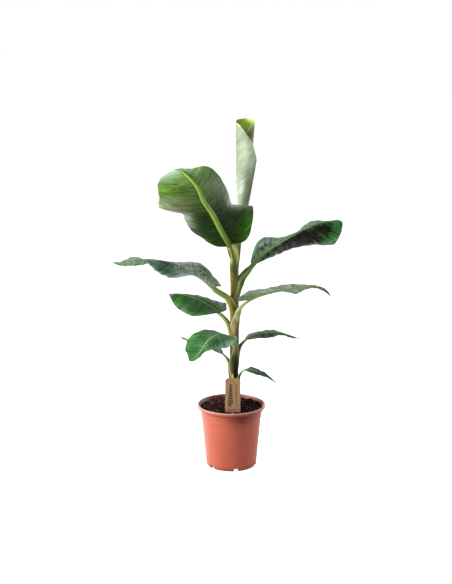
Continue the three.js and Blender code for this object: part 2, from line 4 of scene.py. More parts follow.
import bmesh
import bpy
import numpy as np
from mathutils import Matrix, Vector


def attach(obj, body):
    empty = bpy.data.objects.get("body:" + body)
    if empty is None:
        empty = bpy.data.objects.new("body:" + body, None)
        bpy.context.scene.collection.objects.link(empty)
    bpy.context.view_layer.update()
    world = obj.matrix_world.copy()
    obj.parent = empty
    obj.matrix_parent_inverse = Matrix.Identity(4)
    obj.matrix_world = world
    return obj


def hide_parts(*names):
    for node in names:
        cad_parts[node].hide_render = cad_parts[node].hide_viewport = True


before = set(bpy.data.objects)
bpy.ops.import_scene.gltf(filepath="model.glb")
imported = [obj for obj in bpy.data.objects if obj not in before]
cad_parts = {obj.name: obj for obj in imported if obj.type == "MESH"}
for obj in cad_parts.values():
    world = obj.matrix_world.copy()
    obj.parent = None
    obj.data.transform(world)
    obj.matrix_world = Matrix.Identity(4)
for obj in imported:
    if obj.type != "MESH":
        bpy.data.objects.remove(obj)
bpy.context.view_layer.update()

# Looks of a young banana plant in a nursery pot. Sizes in mm unless a name says otherwise, angles in degrees,
# colours as red, green and blue from 0 to 255. X right, Y away from the viewer, Z up, and the origin is the
# middle of the pot's flat underside, as in the solids.
MM = 0.001
FULL_TURN = 2 * np.pi
SEED = 7
draw = random.Random(SEED)

# Camera of the photo, in metres
CAMERA_PLACE = (-0.0165, -3.3226, 1.2674)
CAMERA_TILT = 77.75
CAMERA_LENS = 69.34


# Helpers for colours


def linear(colour):
    """A colour from 0 to 255 as linear light, by the usual curve of screens"""
    share = np.array(colour, float) / 255
    return np.where(share <= 0.04045, share / 12.92, ((share + 0.055) / 1.055) ** 2.4)


def rgba(colour):
    return (*linear(colour), 1.0)


def coat(base, *zones, spots=(), glints=()):
    """Paint of a surface. A zone is (across, along, how far it fades across and along, colour, strength),
    and a dark spot or a pale glint, which is a painted highlight, is the same without a colour."""
    return {"base": base, "zones": zones, "spots": spots, "glints": glints}


def near(value, place, fade):
    """1 at a place, fading softly to 0 on both sides of it"""
    return np.exp(-(((value - place) / fade) ** 2))


def blend(colours, tint, strength):
    """Moves each colour towards a tint by a strength of its own"""
    colours += strength[..., None] * (linear(tint) - colours)


def paint(across, along, looks):
    """Colours at places (across, along): the base with its zones laid over it in turn"""
    across, along = np.broadcast_arrays(across, along)
    colours = np.empty(across.shape + (3,))
    colours[...] = linear(looks["base"])
    for x, y, wide, high, tint, strength in looks["zones"]:
        blend(colours, tint, strength * near(across, x, wide) * near(along, y, high))
    return colours


def cover(across, along, zones):
    """Strength from 0 to 1 at places (across, along) of zones without a colour"""
    value = np.zeros(np.shape(across))
    for x, y, wide, high, strength in zones:
        value = np.maximum(value, strength * near(across, x, wide) * near(along, y, high))
    return value


# Helpers for meshes


def add_object(name, data):
    piece = bpy.data.objects.new(name, data)
    bpy.context.scene.collection.objects.link(piece)
    return piece


def make_mesh(name, points, faces, materials, kinds=None, smooth=True):
    """An object from points in mm and faces, with the number of each face's material"""
    points = np.asarray(points).reshape(-1, 3) * MM
    mesh = bpy.data.meshes.new(name)
    mesh.from_pydata(points.tolist(), [], [list(map(int, face)) for face in faces])
    for material in materials:
        mesh.materials.append(material)
    if kinds is not None:
        mesh.polygons.foreach_set("material_index", np.asarray(kinds, np.int32))
    mesh.polygons.foreach_set("use_smooth", [smooth] * len(mesh.polygons))
    mesh.update()
    return add_object(name, mesh)


def put_tint(piece, colours):
    """A colour for every point"""
    colours = np.asarray(colours).reshape(-1, 3)
    full = np.concatenate([colours, np.ones((len(colours), 1))], 1)
    attribute = piece.data.attributes.new("tint", "FLOAT_COLOR", "POINT")
    attribute.data.foreach_set("color", full.astype(np.float32).ravel())


def put_value(piece, name, values):
    attribute = piece.data.attributes.new(name, "FLOAT", "POINT")
    attribute.data.foreach_set("value", np.asarray(values, np.float32).ravel())


def put_veins(piece, places):
    """A UV map from one place along and across the veins a point"""
    layer = piece.data.uv_layers.new(name="veins")
    corner = np.empty(len(piece.data.loops), np.int32)
    piece.data.loops.foreach_get("vertex_index", corner)
    layer.data.foreach_set("uv", np.asarray(places).reshape(-1, 2)[corner].astype(np.float32).ravel())


def ready(piece, slot, *nodes):
    """The piece rides on the plant and stands for its nodes. The slot is not used."""
    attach(piece, "root")
    if nodes:
        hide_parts(*nodes)
    return piece


def stacked(*parts):
    """Arrays that fit each other, as the coordinates of points"""
    return np.stack(np.broadcast_arrays(*parts), -1)


def around(x, y, reach, turn, height):
    """Points at a reach from an upright line"""
    return stacked(x + reach * np.cos(turn), y + reach * np.sin(turn), height)


def round_turns(count):
    """Evenly spaced angles round a full turn, as one row"""
    return np.linspace(0, FULL_TURN, count + 1)[None, :-1]


def quads(rows, columns, closed=False, start=0):
    """Faces of a grid of points, row after row"""
    span = columns if closed else columns - 1
    row, column = np.meshgrid(np.arange(rows - 1), np.arange(span), indexing="ij")
    after = (column + 1) % columns
    here = start + row * columns
    above = here + columns
    return np.stack([here + column, here + after, above + after, above + column], -1).reshape(-1, 4)


def make_tube(name, points, material):
    """A closed body from rows of points round it, with a flat face at each end"""
    rows, columns = points.shape[:2]
    faces = list(quads(rows, columns, closed=True))
    faces += [range(columns)[::-1], range((rows - 1) * columns, rows * columns)]
    return make_mesh(name, points, faces, [material])


def sheet_faces(rows, columns, start=0, flip=False):
    """Faces of a thin sheet: its first grid of points, the grid behind it and the margin between the two"""
    count = rows * columns
    grid = start + np.arange(count).reshape(rows, columns)
    rim = np.concatenate([grid[0, :-1], grid[:-1, -1], grid[-1, :0:-1], grid[:0:-1, 0]])
    after = np.roll(rim, -1)
    first = quads(rows, columns, start=start)
    behind = quads(rows, columns, start=start + count)[:, ::-1]
    margin = np.stack([rim, rim + count, after + count, after], -1)
    return [faces[:, ::-1] if flip else faces for faces in (first, behind, margin)]


def face_kinds(faces, kinds):
    """The material's number of each face, from one number a group of faces"""
    return np.concatenate([np.full(len(group), kind) for group, kind in zip(faces, kinds)])


def face_outward(piece, merge=False):
    """Turns all faces outward, with points at one place joined if asked"""
    body = bmesh.new()
    body.from_mesh(piece.data)
    if merge:
        bmesh.ops.remove_doubles(body, verts=body.verts, dist=1e-6)
    bmesh.ops.recalc_face_normals(body, faces=body.faces)
    body.to_mesh(piece.data)
    body.free()


class Look:
    """A material, with short ways to add the nodes that its pattern is made of"""

    def __init__(self, name, on_veins=False, **settings):
        self.on_veins = on_veins
        self.material = bpy.data.materials.new(name)
        self.material.use_nodes = True
        self.tree = self.material.node_tree
        self.shader = self.tree.nodes["Principled BSDF"]
        for key, value in settings.items():
            self.shader.inputs[key.replace("_", " ")].default_value = value

    def fill(self, socket, value):
        """A link from another node, or a value set on the socket itself"""
        if isinstance(value, bpy.types.NodeSocket):
            self.tree.links.new(value, socket)
        else:
            socket.default_value = value

    def add(self, kind, inputs, **settings):
        node = self.tree.nodes.new("ShaderNode" + kind)
        for key, value in settings.items():
            setattr(node, key, value)
        for key, value in inputs.items():
            self.fill(node.inputs[key], value)
        return node

    def link(self, socket, key):
        self.tree.links.new(socket, self.shader.inputs[key])

    def places(self, scale=(1, 1, 1)):
        """Coordinates in metres, along and across the veins or of the object"""
        if self.on_veins:
            source = self.add("UVMap", {}, uv_map="veins").outputs["UV"]
        else:
            source = self.add("TexCoord", {}).outputs["Object"]
        return self.add("Mapping", {"Vector": source, "Scale": scale}).outputs["Vector"]

    def noise(self, scale, detail, roughness=0.5):
        """Soft noise, with its lumps a metre: one number, or one each way"""
        scale = scale if isinstance(scale, tuple) else (scale,) * 3
        inputs = {"Vector": self.places(scale), "Scale": 1.0, "Detail": detail, "Roughness": roughness}
        return self.add("TexNoise", inputs).outputs["Fac"]

    def bands(self, scale, distortion, detail_scale):
        inputs = {"Vector": self.places(), "Scale": scale}
        inputs |= {"Distortion": distortion, "Detail Scale": detail_scale}
        return self.add("TexWave", inputs, wave_type="BANDS", bands_direction="X").outputs["Fac"]

    def cells(self, scale):
        """Distance to the edge of the cell that a place is in"""
        inputs = {"Vector": self.places(scale)}
        return self.add("TexVoronoi", inputs, feature="DISTANCE_TO_EDGE").outputs["Distance"]

    def ramp(self, factor, *stops):
        """Stops are (place, grey or colour)"""
        node = self.add("ValToRGB", {"Fac": factor})
        elements = node.color_ramp.elements
        for element, (place, value) in zip(elements, stops):
            element.position = place
            element.color = rgba(value) if isinstance(value, tuple) else (value, value, value, 1)
        return node.outputs["Color"]

    def mix(self, factor, first, second, blend_type="MIX"):
        node = self.add("Mix", {}, data_type="RGBA", blend_type=blend_type)
        for number, value in ((0, factor), (6, first), (7, second)):
            self.fill(node.inputs[number], rgba(value) if isinstance(value, tuple) else value)
        return node.outputs[2]

    def grey(self, value):
        """One grey as a colour that the others can be divided by"""
        return self.add("CombineXYZ", {"X": value, "Y": value, "Z": value}).outputs["Vector"]

    def maths(self, operation, first, second):
        node = self.add("Math", {0: first, 1: second}, operation=operation)
        return node.outputs["Value"]

    def read(self, name, output="Fac"):
        return self.add("Attribute", {}, attribute_name=name).outputs[output]

    def speckled(self, colour, pattern, name, share, stops, speck):
        """Specks where a pattern is high and the mesh asks for them"""
        edge = self.maths("ADD", pattern, self.maths("MULTIPLY", self.read(name), share))
        return self.mix(self.ramp(edge, *stops), colour, speck)

    def rough(self, pattern, low, high):
        node = self.add("MapRange", {"Value": pattern, "To Min": low, "To Max": high})
        self.link(node.outputs["Result"], "Roughness")

    def relief(self, pattern, strength, metres):
        inputs = {"Height": pattern, "Strength": strength, "Distance": metres}
        self.link(self.add("Bump", inputs).outputs["Normal"], "Normal")

    def finish(self, colour, rough, relief=None):
        """The material with its colour, roughness and relief"""
        self.link(colour, "Base Color")
        self.rough(*rough)
        if relief:
            self.relief(*relief)
        return self.material


# Pot and soil: the main sizes are those of the solids, where the pot's underside is flat

GAP = 0.3
POT_HEIGHT = 194
RIM_RADIUS = 105
FOOT_RADIUS = 77.5
WALL = 3
RECESS = 6
FLOOR = 9
UPPER_RING_HEIGHT = 168
LOWER_RING_HEIGHT = 157
POT_OUTSIDE = [
    (0, RECESS),
    (FOOT_RADIUS - 10, RECESS),
    (FOOT_RADIUS - 8, 0),
    (FOOT_RADIUS - 2, 0),
    (FOOT_RADIUS, 3),
    (91.4, LOWER_RING_HEIGHT - 2),
    (93.2, LOWER_RING_HEIGHT - 0.6),
    (92.2, LOWER_RING_HEIGHT + 1),
    (92.8, UPPER_RING_HEIGHT - 1),
    (94.8, UPPER_RING_HEIGHT + 0.4),
    (94.2, UPPER_RING_HEIGHT + 2),
    (95.4, 181),
    (98, 182.4),
    (102.5, 183),
    (RIM_RADIUS, 186.5),
    (RIM_RADIUS, 190),
    (104.3, POT_HEIGHT - 1.2),
    (102.5, POT_HEIGHT),
]
POT_INSIDE = [
    (100.4, POT_HEIGHT - 1),
    (98.6, 189),
    (93.4, 178),
    (92.4 - WALL, UPPER_RING_HEIGHT),
    (FOOT_RADIUS + 1.2 - WALL, 17),
    (FOOT_RADIUS - 6, 15),
    (FOOT_RADIUS - 15, FLOOR),
    (0, FLOOR),
]
POT_SIDES = 168
POT_ROW = 9
POT_ROUNDING = 1.4
POT_CREASE = 40
NOTCHES = 6
NOTCH_WIDTH = 15
NOTCH_HEIGHT = 9
NOTCH_DEPTH = 13
FIRST_NOTCH_HEADING = -79
SOIL_LEVEL = 184
SOIL_RISE = 3
SOIL_SLOPE = 50
SOIL_RADIUS = 96
SOIL_RINGS = 80
SOIL_SIDES = 240
SOIL_EDGE = 1.5
SOIL_LEDGE = (92.6, 178)

# Stem: height, sideways offset and radius. Its surface has fine flutes: depth, how many, and their lean.
STEM = [
    (152, 7, 15),
    (215, 7.2, 14.6),
    (288, 7.6, 14),
    (360, 8.8, 13.9),
    (432, 9.6, 13.6),
    (520, 9.2, 12.8),
    (618, 9.4, 12),
    (660, 13.5, 12.6),
    (697, 18, 11),
    (742, 23, 9),
]
STEM_SIDES = 96
STEM_ROW = 1.5
FLUTES = [(0.14, 23, 90), (0.12, 37, -60)]

# Sheaths: each opens at a share of its height on the stem, over a drop down to where it is closed, and has a
# thin margin and a keel that grows into the stalk
SHEATH_SHARE = 1.6
SHEATH_DROP = 60
SHEATH_THICKNESS = 1.3
SHEATH_BLEND = 70
SHEATH_LOOSE = 0.35
SHEATH_FOOT = 6
SHEATH_TURN = {"leaf_06": 14, "leaf_08": -26}
LEAST_SPAN = 0.9
KEEL_SHARE = 1.3
KEEL_FADE = 0.8

# Stalks: how much wider than the solids the fleshy end of one is, fading out along the blade, and how much
# further up the margins of one stay on the stem, which leaves a thin web between stalk and stem
STALK_TAPER = 1.6
STALK_SWELL = {"leaf_05": 1.3, "leaf_07": 1.6, "leaf_08": 1.15}
SWELL_FADE = 0.1
STALK_WEB = {"leaf_08": 26, "leaf_09": 64}
GROOVE_WIDTH = 0.55
STALK_GROOVE = 0.55
RIB_GROOVE = 0.35
STALK_ABOVE = 0.9
STALK_BELOW = 1.1
RIB_PROUD = 0.15
RIB_SPREAD = 0.35

# Tag and stick
TAG_WIDTH = 46
TAG_HEIGHT = 107
TAG_THICKNESS = 1.6
TAG_CORNER = 6
TAG_BEVEL = 0.35
TAG_X = 4
TAG_Y = -84
TAG_BOTTOM = 193
INK_THICKNESS = 0.12
SPRIG_HEIGHT = 68
SPRIG_PAIRS = 8
BARS = 9
BAR_STEP = 8
STICK_WIDTH = 6
STICK_THICKNESS = 2.6
STICK_FOOT = 128
STICK_TOP = 313
STICK_POINT = 12
STICK_SQUARENESS = 0.45

# Rolled leaf: height, sideways offset and radius, then how far its rim is below the top at angles round from
# its free edge, and how it laps inward, less at its top
ROLL = [
    (742.3, 23, 9),
    (775, 27.5, 13.8),
    (808, 31.8, 18.2),
    (850, 35.8, 22.4),
    (894, 39.6, 26.3),
    (942, 43.6, 30.4),
    (1000, 42.4, 29.8),
    (1066, 41.3, 29.1),
]
ROLL_TOP = 1065
ROLL_FREE_EDGE = 380
ROLL_TURNS = (0, 20, 42, 59, 73, 99, 124, 150, 200, 290, 350, 380, 425, 464, 500, 560)
ROLL_DROPS = (140, 123, 105, 88, 68, 49, 30, 16, 6, 0, 6, 15, 16, 37, 62, 110)
ROLL_LAP = (290, 400)
ROLL_LAP_DEPTH = (3, 12)
ROLL_LAP_HEIGHTS = (990, 1050)
ROLL_WIND = 6
ROLL_MOST = 0.6
RIM_STEPS = (-12, -6, 0, 6, 12)
ROLL_COLUMNS = 160
ROLL_ROWS = 130
ROLL_ARC_RADIUS = 26
ROLL_RIB_ARC = 86
ROLL_VEIN_RISE = 0.9
ROLL_RELIEF = 0.1
ROLL_SUNK = 8
THREAD_LENGTH = 16
THREAD_X = 40
THREAD_BEND = 3.5
THREAD_RADIUS = 0.9
THREAD_Y = 24

# Blades: rows crowd towards base and tip. The margin waves and ruffles, and the sheet thins towards it.
PATH_STEPS = 120
ROW_LENGTH = 2.4
ROW_CROWDING = 0.6
COLUMNS = 26
COLUMN_POWER = 0.9
RIB_SIDES = 36
RIB_TIP = 0.8
RIB_TAPER = 1.3
RIB_LAP = 0.14
RIB_LAP_FADE = 0.05
LEAST_EDGE = 0.4
LEAST_CURL = 1e-4
SHEET = 0.9
THINNING = 0.45
WAVES = 2
WAVE_ENDS = (0.4, 0.4)
LOBE_POWERS = (1.5, 6)
VEIN_SPACING = 8.5
VEIN_LEAN = 0.25
VEIN_RELIEF = 0.22
FULL_RELIEF_WIDTH = 12
RUFFLE = 0.9
RUFFLE_LENGTH = 27
RUFFLE_SHIFT = 1.7


def new_half(width, outline, reach, tilt, curl, wave, sweep, lobe):
    """Half of a blade: width, outline and reach from base to tip, then tilt, curl, wave, sweep and lobe"""
    shape = {"width": width, "outline": outline, "reach": reach, "tilt": tilt}
    return shape | {"curl": curl, "wave": wave, "sweep": sweep, "lobe": lobe}


def new_leaf(base, sheath, stalk, blade, radii, heading, rise, right, left, roll=0, taper=RIB_TAPER):
    """A leaf: the height on the stem's axis where its line starts, the height above it where the leaf parts
    from the stem, the lengths of stalk and blade, the stalk's radius at both ends, heading and rise along the
    line, both halves, the blade's roll about its rib and how late the rib tapers"""
    line = {"base": base, "sheath": sheath, "stalk": stalk, "blade": blade, "radii": radii}
    line |= {"heading": heading, "rise": rise, "roll": roll, "taper": taper}
    return line | {"right": right, "left": left}


# Leaves from the lowest to the highest, as in the solids but for leaf 6's tip, which turns broader, and
# leaf 9's rib, which tapers later
LEAVES = {
    "leaf_01": new_leaf(
        248, 14, 73, 117, (4.5, 2.2),
        (-24, -37, -30, -28, -21), (60, 61, 1, -23, -32),
        new_half(12, (0.6, 1.2), (1, 1), (-72, -59, -32, 0), (0, 85), (0.6, 0.88), (0.3, 0.3), 0.2),
        new_half(21, (0.3, 1.3), (1, 1), (7, -7, -19, 6), (-21, 71), (1.7, 0), (-0.3, -0.3), 0),
    ),
    "leaf_02": new_leaf(
        293, 16, 69, 170, (5, 2.5),
        (165, 139, 142, 145, 152), (73, 36, 4, 8, 11),
        new_half(15, (0.55, 0.8), (1, 1), (20, 15, 15), (-15, -15), (2, 0.1), (0.1, 0.1), 0),
        new_half(15, (0.55, 0.8), (1, 1), (10, 5, 0), (-20, -10), (2, 0.6), (0.1, 0.1), 0),
    ),
    "leaf_03": new_leaf(
        336, 18, 74, 188, (5.5, 2.8),
        (37, 36, 20, 19, 11), (61, 38, 0, -13, -30),
        new_half(18, (0.56, 1.0), (1, 1), (-59, -47, -26, -31), (-15, 41), (3.9, 0.12), (0.3, 0.3), 0),
        new_half(19, (0.61, 1.06), (1, 1), (20, 13, 16, 1), (-37, -15), (2.6, 0.19), (-0.3, -0.3), 0.2),
    ),
    "leaf_04": new_leaf(
        335, 18, 110, 205, (6.5, 3.4),
        (-62, -90, -119, -129, -134, -146, -164), (54, 55, 36, 20, -15, -50, -19),
        new_half(60, (0.95, 0.7), (0.95, 1.05, 0.85, 0.85, 1, 1.1, 1.05, 1.1, 0.6), (16, 1, 6, 3, 6, 10),
            (9, 18, 10, 12), (1.8, 0.8), (0.4, 0.4, 0.25, 0.25), 0.4),
        new_half(55, (0.7, 0.96), (0.7, 0.5, 1, 1.4, 1.15, 0.85, 0.7, 0.85, 1), (-30, -17, -14, -9, 18, 25),
            (-17, 11, -24, -18), (7.4, 0.8), (0.35, 0.1, 0.25, 0.2), 0.4),
    ),
    "leaf_05": new_leaf(
        393, 24, 101, 184, (7, 4.2),
        (129, 146, 150, 151, 159, 166), (71, 58, 25, 22, 5, -4),
        new_half(58, (0.7, 0.85), (1.15, 1.05, 1.3, 1.1, 0.95, 0.8, 0.65, 0.95, 1.15),
            (13, 11, 3, 0, -4, -10), (4, -15, -17, 0), (0.5, 0), (-0.3, -0.25, -0.3, 0.05), 0.5),
        new_half(58, (0.7, 0.85), (1.25, 1.05, 1.1, 1, 0.95, 0.95, 1, 1, 0.9), (-22, -42, -51, -54, -42, -54),
            (-24, -14, -18, 4), (1.5, 0.5), (0.4, 0.35, 0.3, 0.2), 0),
    ),
    "leaf_06": new_leaf(
        447, 26, 98, 270, (8, 4.8),
        (-83, -28, -18, -17, -14, -13, -16), (77, 54, 26, 14, 9, -1, -61),
        new_half(40, (0.3, 1.04), (1.1, 1.1, 1.4, 1.2, 1.1, 0.95, 0.95, 0.75, 1.5), (24, 32, 25, 26, 21, 64),
            (1, -10, 25, 38), (1.4, 0.3), (-0.35, -0.5, -0.15, 0), 0.5),
        new_half(44, (0.33, 1.3), (0.6, 0.6, 0.9, 0.55, 1.15, 0.9, 1.2, 1.25, 1.7),
            (-3, -4, -21, -23, -23, -56), (-37, -21, -31, -48), (5.1, 0.75), (0.6, 0.5, 0.25, -0.1), 0),
    ),
    "leaf_07": new_leaf(
        478, 30, 119, 337, (9, 5.5),
        (-114, -150, -160, -162, -165, -163, -174), (80, 44, 38, 23, 18, -4, -1),
        new_half(78, (0.3, 0.83), (0.95, 0.8, 1.1, 0.95, 1.05, 0.9, 0.95, 0.85, 1.3),
            (32, 33, 18, 0, -23, -44), (-21, -18, -28, -50), (0.6, 0.75), (-0.5, -0.3, -0.3, -0.3), 0.5),
        new_half(74, (0.95, 1.17), (0.75, 0.9, 1, 1.4, 1.2, 1.15, 1.05, 1.1, 0.9),
            (-23, -20, -20, -6, 11, -2), (24, 2, -6, 28), (8.7, 0.7), (0.25, 0.4, 0.4, 0.25), 0),
    ),
    "leaf_08": new_leaf(
        507, 40, 137, 319, (9.5, 6),
        (30, 20, 20, 24, 23, 20, 14), (84, 65, 40, 26, 23, 15, 1),
        new_half(78, (0.78, 0.44), (1.1, 0.7, 0.65, 0.65, 0.75, 0.8, 1.05, 0.9, 0.65),
            (-80, -77, -77, -66, -34, -4), (-42, -70, -48, -2), (2.3, 0.7), (0.15, 0.15, 0.35, 0.5), 0.1),
        new_half(69, (0.61, 0.43), (0.7, 1.15, 1.05, 0.85, 0.9, 0.75, 0.8, 0.95, 0.6),
            (43, 36, 9, -11, -11, -11), (-15, -32, 6, 3), (8.2, 0.7), (0.3, 0.2, 0.1, 0.05), 0.15),
    ),
    "leaf_09": new_leaf(
        560, 44, 152, 334, (11, 7.5),
        (-94, -107, -120, -129, -140, -138, -136, -225, -243), (64, 65, 69, 53, 59, 49, 61, 28, -14),
        new_half(117, (0.3, 0.45), (0.65, 0.6, 0.7, 0.65, 0.55, 1, 0.95, 0.95, 0.85, 0.9, 1.2),
            (41, 34, 25, 22, 14, 3, -6), (36, 29, 24, 9, -7), (0, 0), (0.4, 0.4, 0.55, 0.35, 0.5, 0.1),
            0.4),
        new_half(96, (0.3, 0.9), (0.8, 0.95, 1.2, 0.7, 0.9, 1, 1.1, 1.1, 0.95, 0.7, 1.2),
            (-26, -16, 4, 11, 4, 4, 6), (-30, 13, -12, 8, 13), (4, 0.4), (0, 0.05, 0, 0.05, 0.15, -0.2),
            0.25),
        roll=70,
        taper=2.2,
    ),
}

# Shapes shared with the solids


def smooth(values, share):
    """Smooth curve through values spaced evenly over 0 to 1"""
    values = np.array(values, float)
    last = len(values) - 1
    padded = np.concatenate([[2 * values[0] - values[1]], values, [2 * values[-1] - values[-2]]])
    x = np.clip(share, 0, 1) * last
    i = np.minimum(np.floor(x).astype(int), last - 1)
    f = x - i
    a, b, c, d = (padded[i + step] for step in range(4))
    cubic = 3 * b - a - 3 * c + d
    return 0.5 * (2 * b + (c - a) * f + (2 * a - 5 * b + 4 * c - d) * f**2 + cubic * f**3)


def between(values, share):
    """Straight lines between values spaced evenly over 0 to 1"""
    return np.interp(share, np.linspace(0, 1, len(values)), values)


def section_at(table, height):
    """Sideways offset and radius at heights, from rows of (height, x, radius)"""
    heights, x, radius = np.array(table, float).T
    return np.interp(height, heights, x), np.interp(height, heights, radius)


def outline(share, ends):
    """Width of a blade half as a share of its widest, from base to tip"""
    base, tip = ends
    widest = base / (base + tip)
    return (share**base * (1 - share) ** tip) / (widest**base * (1 - widest) ** tip)


def unit(vectors):
    return vectors / np.linalg.norm(vectors, axis=-1, keepdims=True)


def leaf_line(leaf):
    """Places, directions and sides at every step from the stem's axis to the leaf's tip"""
    share = (np.arange(PATH_STEPS) + 0.5) / PATH_STEPS
    heading = np.radians(smooth(leaf["heading"], share))
    rise = np.radians(smooth(leaf["rise"], share))
    level = np.cos(rise)
    way = np.stack([level * np.cos(heading), level * np.sin(heading), np.sin(rise)], 1)
    length = leaf["stalk"] + leaf["blade"]
    start = np.array([section_at(STEM, leaf["base"])[0], 0, leaf["base"]])
    places = start + np.concatenate([np.zeros((1, 3)), np.cumsum(way * length / PATH_STEPS, 0)])
    forward = np.concatenate([way, way[-1:]])
    joint = leaf["stalk"] / length * PATH_STEPS
    first = int(joint)
    sideways = np.empty_like(forward)
    for direction, stop in ((1, PATH_STEPS + 1), (-1, -1)):
        side = unit(np.cross(forward[first], (0, 0, 1)))
        for i in range(first, stop, direction):
            side = unit(side - side @ forward[i] * forward[i])
            sideways[i] = side
    roll = math.radians(leaf["roll"])
    normal = np.cross(sideways, forward)
    sideways = sideways * math.cos(roll) - normal * math.sin(roll)
    return places, forward, sideways, joint


def frame_at(line, steps):
    """Place, direction, side and upper normal at steps of a leaf's line"""
    places, forward, sideways, _ = line
    i = np.minimum(np.floor(steps).astype(int), PATH_STEPS - 1)
    f = (steps - i)[:, None]
    place, ahead, side = (a[i] * (1 - f) + a[i + 1] * f for a in (places, forward, sideways))
    ahead, side = unit(ahead), unit(side)
    return place, ahead, side, np.cross(side, ahead)


def rib_radius(leaf, share):
    wide = leaf["radii"][1]
    return wide + (RIB_TIP - wide) * share ** leaf["taper"]


# Blades, stalks and stem


def half_blade(leaf, key, line, number):
    """Points of one half of a blade: upper and lower, and the share, reach, vein place and width of each"""
    half, side = leaf[key], (1 if key == "right" else -1)
    even = np.linspace(0, 1, int(leaf["blade"] / ROW_LENGTH) + 1)
    share = (even - ROW_CROWDING * np.sin(FULL_TURN * even) / FULL_TURN)[:, None]
    out = (np.linspace(0, 1, COLUMNS + 1) ** COLUMN_POWER)[None]
    steps = line[3] + (PATH_STEPS - line[3]) * share[:, 0]
    place, ahead, across, normal = (v[:, None] for v in frame_at(line, steps))
    tilt = np.radians(smooth(half["tilt"], share))
    curl = np.radians(smooth(half["curl"], share))
    curl = np.where(np.abs(curl) < LEAST_CURL, LEAST_CURL, curl)
    width = half["width"] * outline(share, half["outline"]) * between(half["reach"], share)
    wave_height, phase = half["wave"]
    swell = outline(share, WAVE_ENDS)
    wave = wave_height * out**2 * swell * np.sin(FULL_TURN * (WAVES * share + phase))
    lobe = half["lobe"] * out ** LOBE_POWERS[0] * (1 - share) ** LOBE_POWERS[1]
    along = width * (between(half["sweep"], share) * out - lobe)
    vein = share * leaf["blade"] - VEIN_LEAN * width * out**2
    shift = RUFFLE_SHIFT * number + side
    ruffle = RUFFLE * swell * out**3 * np.sin(FULL_TURN * vein / RUFFLE_LENGTH + shift)
    middle = np.sin(np.pi * out) * np.minimum(1, width / FULL_RELIEF_WIDTH)
    lift = wave + ruffle + VEIN_RELIEF * np.cos(FULL_TURN * vein / VEIN_SPACING) * middle
    slope = tilt + curl * out
    rib = rib_radius(leaf, share) * (1 - RIB_LAP * np.exp(-out / RIB_LAP_FADE)) + LEAST_EDGE * out
    x = rib + (width / curl) * (np.sin(slope) - np.sin(tilt)) - lift * np.sin(slope)
    y = (width / curl) * (np.cos(tilt) - np.cos(slope)) + lift * np.cos(slope)
    x, y, along, slope = (a[..., None] for a in np.broadcast_arrays(x, y, along, slope))
    upper = place + side * across * x + normal * y + ahead * along
    thick = SHEET * (1 - THINNING * out[..., None])
    lower = upper + (side * across * np.sin(slope) - normal * np.cos(slope)) * thick
    share, out, vein, width = np.broadcast_arrays(share, out, vein, width)
    return upper, lower, share, side * out, vein, out * width


def add_blade(name, leaf, line, number):
    """A leaf's blade: both halves, each a thin sheet"""
    points, faces, tints, spots, glints, veins = [], [], [], [], [], []
    for key in ("right", "left"):
        upper, lower, share, out, vein, across = half_blade(leaf, key, line, number)
        left = key == "left"
        faces += sheet_faces(*share.shape, start=2 * share.size * left, flip=left)
        points += [upper, lower]
        veins += [stacked(vein, across) * MM] * 2
        for looks in (PAINT[name]["upper"], PAINT[name]["lower"]):
            tints.append(paint(out, share, looks))
            spots.append(cover(out, share, looks["spots"]))
            glints.append(cover(out, share, looks["glints"]))
    looks = [BLADE_UPPER, BLADE_LOWER]
    kinds = face_kinds(faces, (0, 1, 1) * 2)
    piece = make_mesh(name + "_blade", points, np.concatenate(faces), looks, kinds)
    put_tint(piece, tints)
    put_value(piece, "spots", spots)
    put_value(piece, "glints", glints)
    put_veins(piece, veins)
    return ready(piece, "leaf", name + "_blade")


def stalk_sections(leaf, line, steps, turn, swell):
    """Free sections of a stalk and its midrib, rounded below and channelled above"""
    joint = line[3]
    place, _, across, normal = (v[:, None] for v in frame_at(line, steps))
    on_stalk = np.clip(steps / joint, 0, 1)
    on_rib = np.clip((steps - joint) / (PATH_STEPS - joint), 0, 1)[:, None]
    is_rib = on_rib > 0
    wide, slim = leaf["radii"]
    radius = (wide + (slim - wide) * on_stalk**STALK_TAPER)[:, None]
    radius = np.where(is_rib, rib_radius(leaf, on_rib), radius)
    radius = radius * (1 + (swell - 1) * np.exp(-on_rib / SWELL_FADE))
    upper = np.sin(turn) > 0
    height = np.abs(np.sin(turn))
    x = np.sign(np.cos(turn)) * np.abs(np.cos(turn)) ** np.where(upper, 0.5, 1.0)
    depth = np.where(is_rib, RIB_GROOVE * (1 - on_rib), STALK_GROOVE)
    groove = np.where(upper, near(x, 0, GROOVE_WIDTH), 0) * depth
    y = np.where(upper, STALK_ABOVE * height ** np.where(is_rib, 0.3, 0.6), -STALK_BELOW * height)
    y = radius * (y - STALK_ABOVE - groove) + RIB_PROUD
    x = (radius + RIB_SPREAD * np.minimum(1, on_rib * 9)) * x
    return place + across * x[..., None] + normal * y[..., None]


def sheath_sections(leaf, top, heading, height, turn, swell):
    """Sections of the sheath, closed round the stem at its foot and opening towards its top, and the share of
    each point between the sheath's middle and its margins, at -1 and 1"""
    below = np.clip((top - height) / SHEATH_DROP, 0, 1)
    span = np.maximum(np.arccos(1 - 2 * below), LEAST_SPAN)
    outer = np.sin(turn) < 0
    share = np.where(outer, turn / (np.pi / 2) - 3, 1 - turn / (np.pi / 2))
    x, radius = section_at(STEM, height)
    keel = KEEL_SHARE * swell * leaf["radii"][0] * (1 - below) ** 1.5 * near(span * share, 0, KEEL_FADE)
    margin = SHEATH_THICKNESS * np.minimum(1, 6 * (1 - below))
    reach = radius - GAP + np.where(outer, margin + keel, 0)
    return around(x, 0, reach, heading - span * share, height), share


